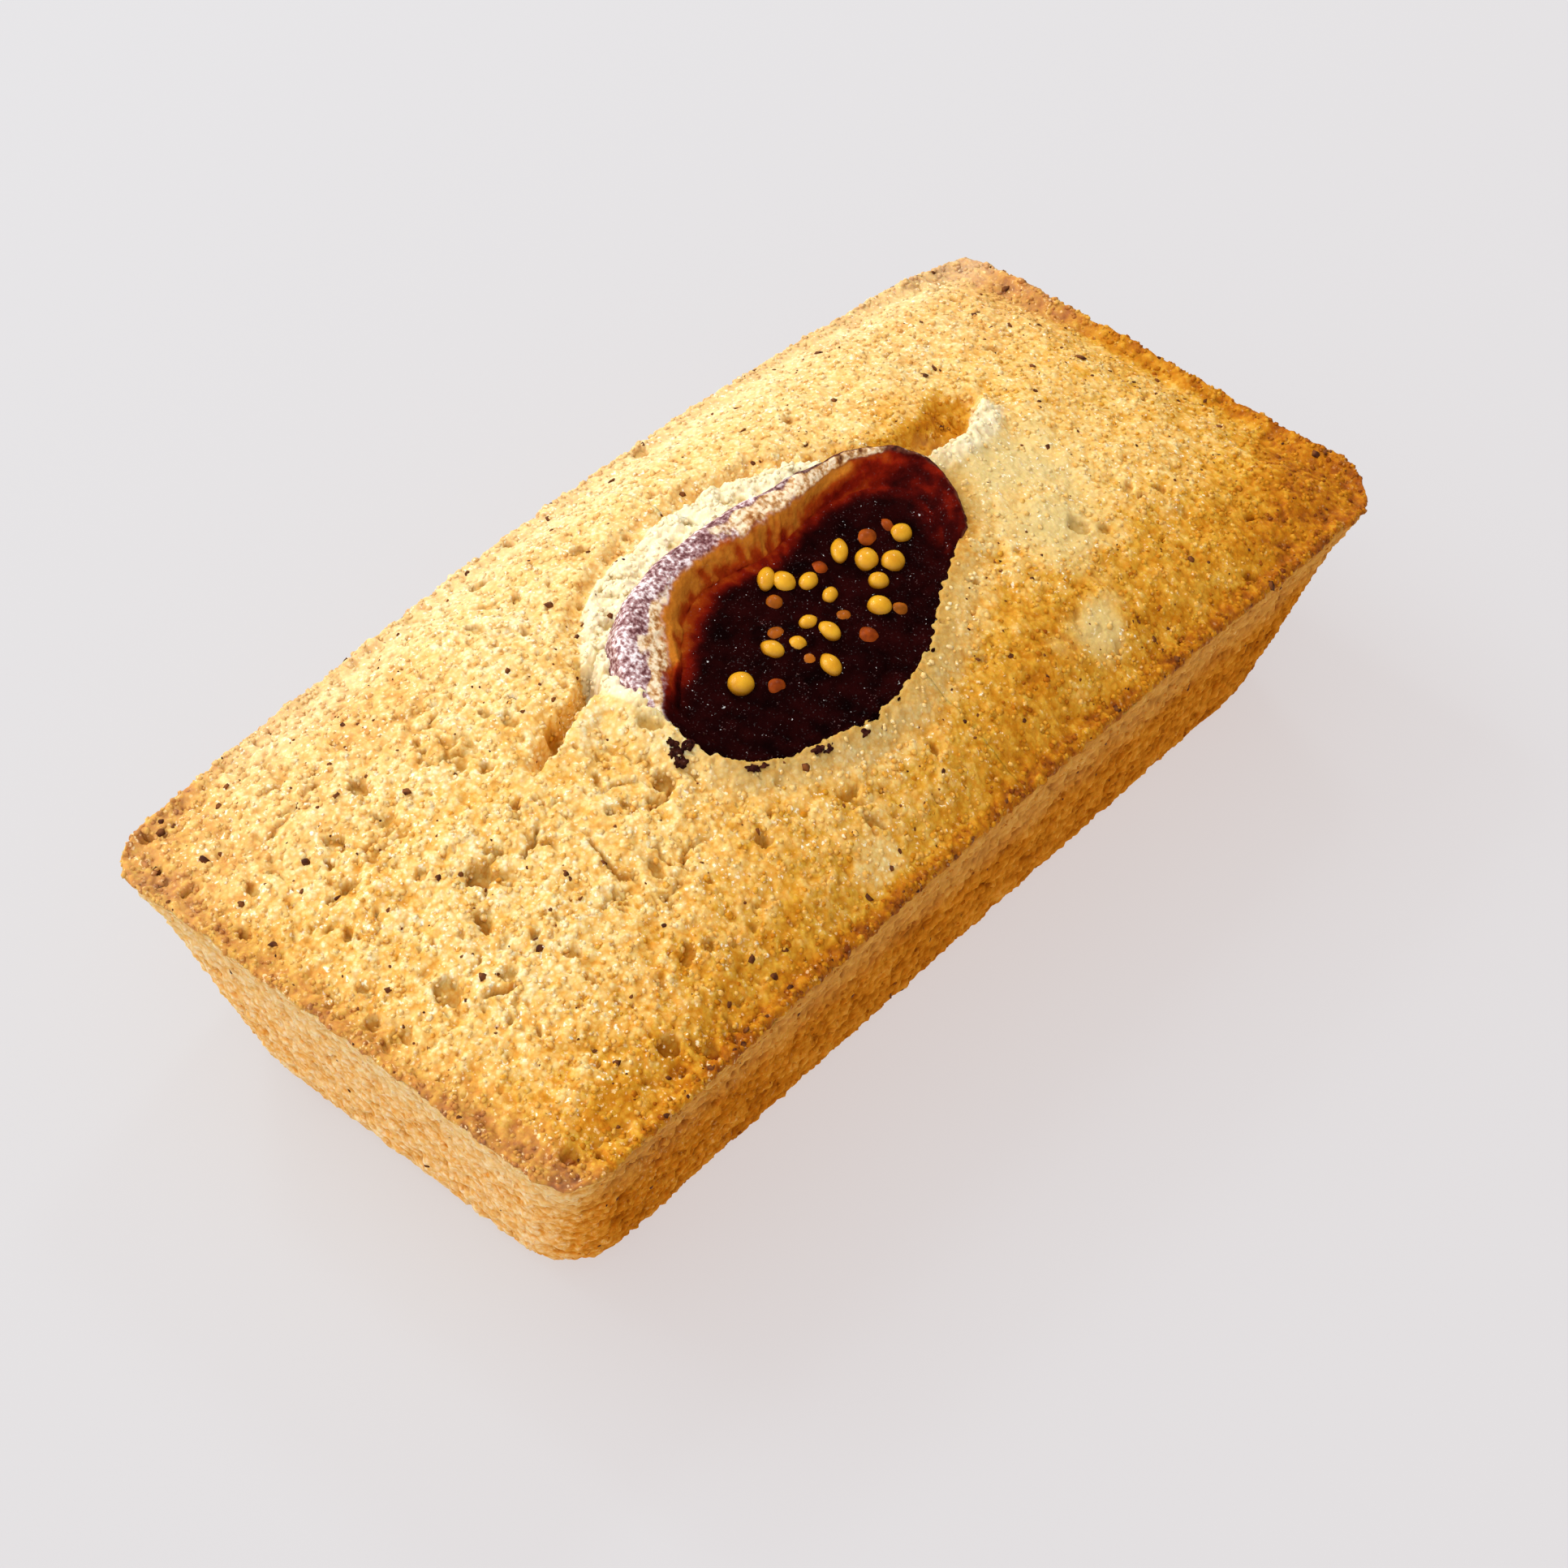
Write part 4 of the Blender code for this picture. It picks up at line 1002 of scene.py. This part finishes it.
def makeSeeds():
    shape = bmesh.new()
    dullLayer, tipLayer, underShadeLayer = [shape.verts.layers.float.new(key) for key in ("dull", "tip", "low")]
    for group, lift, dull in (("golden", seedRule["rise"], 0.0), ("sunken", seedRule["sink"], 0.95)):
        for x, y, halfLength, halfWidth, turned in seedRule[group]:
            made = bmesh.ops.create_uvsphere(shape, u_segments=20, v_segments=14, radius=1.0)["verts"]
            halfHeight = seedRule["flatness"] * halfWidth
            level = float(fleshHeight(np.array([x]), np.array([y]))[0]) + 0.15
            fading = 0.25 * noise.noise((x, y, 3.0))
            for vert in made:
                vert.co = vert.co.yzx  # poles along the seed
                pointed = 1.0 - 0.32 * max(vert.co.x, 0.0) ** 2
                vert.co.y *= pointed
                vert.co.z *= pointed
                vert[tipLayer] = max(vert.co.x, 0.0) ** 4
                # how low on the seed the point lies, for the painted shade underneath
                vert[underShadeLayer] = min(max((0.62 - vert.co.z) / 0.7, 0.0), 1.0)
                vert[dullLayer] = min(max(dull + fading, 0.0), 1.0)
            bmesh.ops.scale(shape, vec=(halfLength, halfWidth, halfHeight), verts=made)
            spin = Matrix.Rotation(math.radians(turned), 3, "Z")
            bmesh.ops.rotate(shape, verts=made, cent=(0, 0, 0), matrix=spin)
            bmesh.ops.translate(shape, vec=(x, y, level + lift * halfHeight), verts=made)
    return makePiece("figSeeds", shape, seedPaintMaker())


figSeeds = makeSeeds()
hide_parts("fig_half")


# grains and specks scattered over the crumb

def surfaceOf(piece):  # face middles, normals, areas and the piece's own values
    mesh = piece.data
    count = len(mesh.polygons)
    middles, normals, areas = np.empty(count * 3), np.empty(count * 3), np.empty(count)
    mesh.polygons.foreach_get("center", middles)
    mesh.polygons.foreach_get("normal", normals)
    mesh.polygons.foreach_get("area", areas)
    starts, corners = np.empty(count, int), np.empty(len(mesh.loops), int)
    mesh.polygons.foreach_get("loop_start", starts)
    mesh.loops.foreach_get("vertex_index", corners)
    kept = {}
    for key in ("toast", "hollow", "batter", "torn"):
        numbers = np.empty(len(mesh.vertices))
        mesh.attributes[key].data.foreach_get("value", numbers)
        kept[key] = numbers[corners[starts]]
    return middles.reshape(-1, 3) / mm, normals.reshape(-1, 3), areas, kept


def surfacesOf(pieces):
    middles, normals, areas, kept = zip(*[surfaceOf(piece) for piece in pieces])
    joined = {key: np.concatenate([part[key] for part in kept]) for key in kept[0]}
    return np.concatenate(middles), np.concatenate(normals), np.concatenate(areas), joined


def randomTurns(rng, count):
    q = rng.normal(size=(count, 4))
    w, i, j, k = (q / np.linalg.norm(q, axis=1, keepdims=True)).T
    rows = ((1 - 2 * (j * j + k * k), 2 * (i * j - k * w), 2 * (i * k + j * w)),
            (2 * (i * j + k * w), 1 - 2 * (i * i + k * k), 2 * (j * k - i * w)),
            (2 * (i * k - j * w), 2 * (j * k + i * w), 1 - 2 * (i * i + j * j)))
    return np.moveaxis(np.array(rows), 2, 0)


def scatter(name, rule, carriers, odds, paint):  # small lumps joined in one mesh
    middles, normals, areas, kept = surfacesOf(carriers)
    rng = np.random.default_rng(rule["seed"])
    count = 2 ** rule["doublings"]
    chance = areas * odds(middles, normals, kept)
    picked = rng.choice(len(areas), size=count, replace=False, p=chance / chance.sum())
    shape = bmesh.new()
    bmesh.ops.create_icosphere(shape, subdivisions=1, radius=1.0)
    base = np.array([vert.co[:] for vert in shape.verts])
    for step in range(rule["doublings"]):
        bmesh.ops.duplicate(shape, geom=shape.verts[:] + shape.edges[:] + shape.faces[:])
    dents = 1.0 + rule["dent"] * (rng.random((count, len(base), 1)) - 0.5)
    spread = rng.random((count, 1)) ** rule["power"]
    sizes = rule["smallest"] + (rule["largest"] - rule["smallest"]) * spread
    stretch = sizes * (1.0 + rule["stretch"] * rng.random((count, 3)))
    lump = base[None] * dents * stretch[:, None, :]
    lump = np.einsum("nij,nkj->nki", randomTurns(rng, count), lump)
    facing = normals[picked]
    above = np.einsum("nki,ni->nk", lump, facing)  # how high each point stands
    lump = lump - above[:, :, None] * facing[:, None, :] * (1.0 - rule["flat"])
    spots = middles[picked] + facing * sizes * rule["rise"]
    placed = (spots[:, None, :] + lump).reshape(-1, 3)
    placeVerts(shape, *placed.T)
    tone = rule["tone"] * (rng.random(count) - 0.5)
    # The grains' lower sides get painted shade.
    storeValues(shape, {"toast": np.repeat(kept["toast"][picked] + tone, len(base)),
                        "hollow": 0.45 * softStep(0.6, -0.2, above / sizes).reshape(-1),
                        "batter": np.repeat(0.5 * kept["batter"][picked], len(base)),
                        "torn": np.repeat(kept["torn"][picked], len(base))})
    return makePiece(name, shape, paint)


bitRule = (  # dark bits of fig on the crumb: place, half length, half width, turn in degrees
    (-16.3, -3.7, 0.65, 0.42, 60), (-16.6, -4.4, 0.45, 0.35, 20), (-16.0, -3.1, 0.40, 0.28, 100),
    (-15.4, -3.9, 0.50, 0.30, 10), (-13.9, -7.7, 0.45, 0.30, -50), (-13.3, -8.1, 0.30, 0.20, -20),
    (-9.9, -9.6, 0.40, 0.28, -30), (-9.2, -9.9, 0.45, 0.26, 10), (-6.5, -10.6, 0.38, 0.24, 0),
)


def makeBits():
    middles = surfaceOf(crustLeft)[0]
    shape = bmesh.new()
    for x, y, halfLength, halfWidth, turned in bitRule:
        nearest = np.argmin(np.hypot(middles[:, 0] - x, middles[:, 1] - y))
        level = max(middles[nearest, 2], float(fleshHeight(np.array([x]), np.array([y]))[0]) - 0.1)
        made = bmesh.ops.create_icosphere(shape, subdivisions=3, radius=1.0)["verts"]
        bmesh.ops.scale(shape, vec=(halfLength, halfWidth, 0.6 * halfWidth), verts=made)
        for vert in made:
            vert.co *= 1.0 + 0.9 * noise.noise(vert.co / 0.22 + Vector((x, y, 0.0)))
        spin = Matrix.Rotation(math.radians(turned), 3, "Z")
        bmesh.ops.rotate(shape, verts=made, cent=(0, 0, 0), matrix=spin)
        bmesh.ops.translate(shape, vec=(x, y, level), verts=made)
    storeValues(shape, {"skin": np.full(len(shape.verts), 0.35)})
    return makePiece("figBits", shape, figPaint)


figBits = makeBits()
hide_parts("fig_half")


def openCrust(middles, normals, kept):
    x, y = middles[:, 0], middles[:, 1]
    edge = np.minimum(halfX - np.abs(x), halfY - np.abs(y))
    shown = (aroundFig(x, y)[0] > 0.1) & (normals[:, 2] > -0.2)
    return shown * (1.0 - 0.8 * kept["batter"]) * (1.0 - 0.5 * kept["hollow"]) * (1.0 + 1.5 * (edge < 0.5))


def openWalls(middles, normals, kept):
    return (middles[:, 2] > 0.3) * (middles[:, 2] < 15.3) * (np.abs(normals[:, 2]) < 0.85)


grainRule = {"seed": 31, "doublings": 13, "smallest": 0.09, "largest": 0.20, "power": 1.4, "stretch": 0.5,
             "dent": 0.5, "flat": 0.8, "rise": -0.15, "tone": 0.30}
crumbGrains = scatter("crumbGrains", grainRule, (crustLeft, crustRight), openCrust, crustGrainPaint)
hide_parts("cake")
wallRule = {"seed": 32, "doublings": 12, "smallest": 0.08, "largest": 0.17, "power": 1.5, "stretch": 0.5,
            "dent": 0.5, "flat": 0.6, "rise": -0.2, "tone": 0.25}
wallGrains = scatter("wallGrains", wallRule, (cakeWalls,), openWalls, wallGrainPaint)
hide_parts("cake")


def speckPaintMaker():
    paint = Paint("branSpeck", 0.6, Specular_IOR_Level=0.1)
    cloud = paint.grain(0.5, 1.0)
    colour = paint.ramp(cloud, ((0.35, (0.055, 0.013, 0.004)), (0.65, (0.20, 0.060, 0.012))))
    return paint.finish(Base_Color=colour)


speckPaint = speckPaintMaker()
topSpeckRule = {"seed": 33, "doublings": 9, "smallest": 0.05, "largest": 0.21, "power": 2.6, "stretch": 1.0,
                "dent": 0.8, "flat": 0.4, "rise": -0.05, "tone": 0.0}
topSpecks = scatter("topSpecks", topSpeckRule, (crustLeft, crustRight), openCrust, speckPaint)
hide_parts("cake")
wallSpeckRule = dict(topSpeckRule, seed=34, doublings=7, largest=0.16)
wallSpecks = scatter("wallSpecks", wallSpeckRule, (cakeWalls,), openWalls, speckPaint)
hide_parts("cake")


# floor and light

studio = {
    "floor": (0.118, 0.160, 0.185),
    "floorGlow": (0.620, 0.543, 0.522),  # a thin pale sheet that lets light through
    "skyMiddle": 0.90,
    "skyLean": (-0.68, 0.32, 0.12),  # brighter to the left, the back and above
    "lights": (  # name, place, size, power, colour
        ("windowLight", (-100.0, 380.0, 330.0), 320.0, 0.95, (1.0, 0.99, 0.97)),
        ("glintLight", (262.0, 176.0, 322.0), 80.0, 0.30, (1.0, 0.99, 0.97)),
        ("paneLight", (30.0, 330.0, 300.0), 60.0, 0.25, (1.0, 0.99, 0.97)),
    ),
}


def makeStudio():
    shape = bmesh.new()
    bmesh.ops.create_grid(shape, x_segments=2, y_segments=2, size=1500.0)
    bmesh.ops.scale(shape, vec=(mm, mm, mm), verts=shape.verts)
    mesh = bpy.data.meshes.new("floor")
    shape.to_mesh(mesh)
    shape.free()
    floor = bpy.data.objects.new("floor", mesh)
    bpy.context.scene.collection.objects.link(floor)
    paint = Paint("paleFloor", 0.7, Specular_IOR_Level=0.0, Emission_Color=(*studio["floorGlow"], 1.0),
                  Emission_Strength=1.0)
    mesh.materials.append(paint.finish(Base_Color=(*studio["floor"], 1.0)))
    world = bpy.data.worlds.new("studio")
    world.use_nodes = True
    sky = Graph(world.node_tree)
    heading = sky.node("ShaderNodeTexCoord", output="Generated")
    lean = sky.node("ShaderNodeVectorMath", {"operation": "DOT_PRODUCT"}, output="Value",
                    values={0: heading, 1: studio["skyLean"]})
    backdrop = world.node_tree.nodes["Background"]
    sky.feed(backdrop.inputs["Color"], (1.0, 1.0, 1.0, 1.0))
    sky.feed(backdrop.inputs["Strength"], lean + studio["skyMiddle"])
    bpy.context.scene.world = world
    for name, place, size, power, colour in studio["lights"]:
        data = bpy.data.lights.new(name, "AREA")
        data.shape = "DISK"
        data.size = size * mm
        data.energy = power
        data.color = colour
        light = bpy.data.objects.new(name, data)
        light.location = Vector(place) * mm
        light.rotation_mode = "QUATERNION"
        light.rotation_quaternion = (-Vector(place)).to_track_quat("-Z", "Y")
        bpy.context.scene.collection.objects.link(light)
    bpy.context.scene.view_settings.view_transform = "Standard"


makeStudio()
print("studio lit")
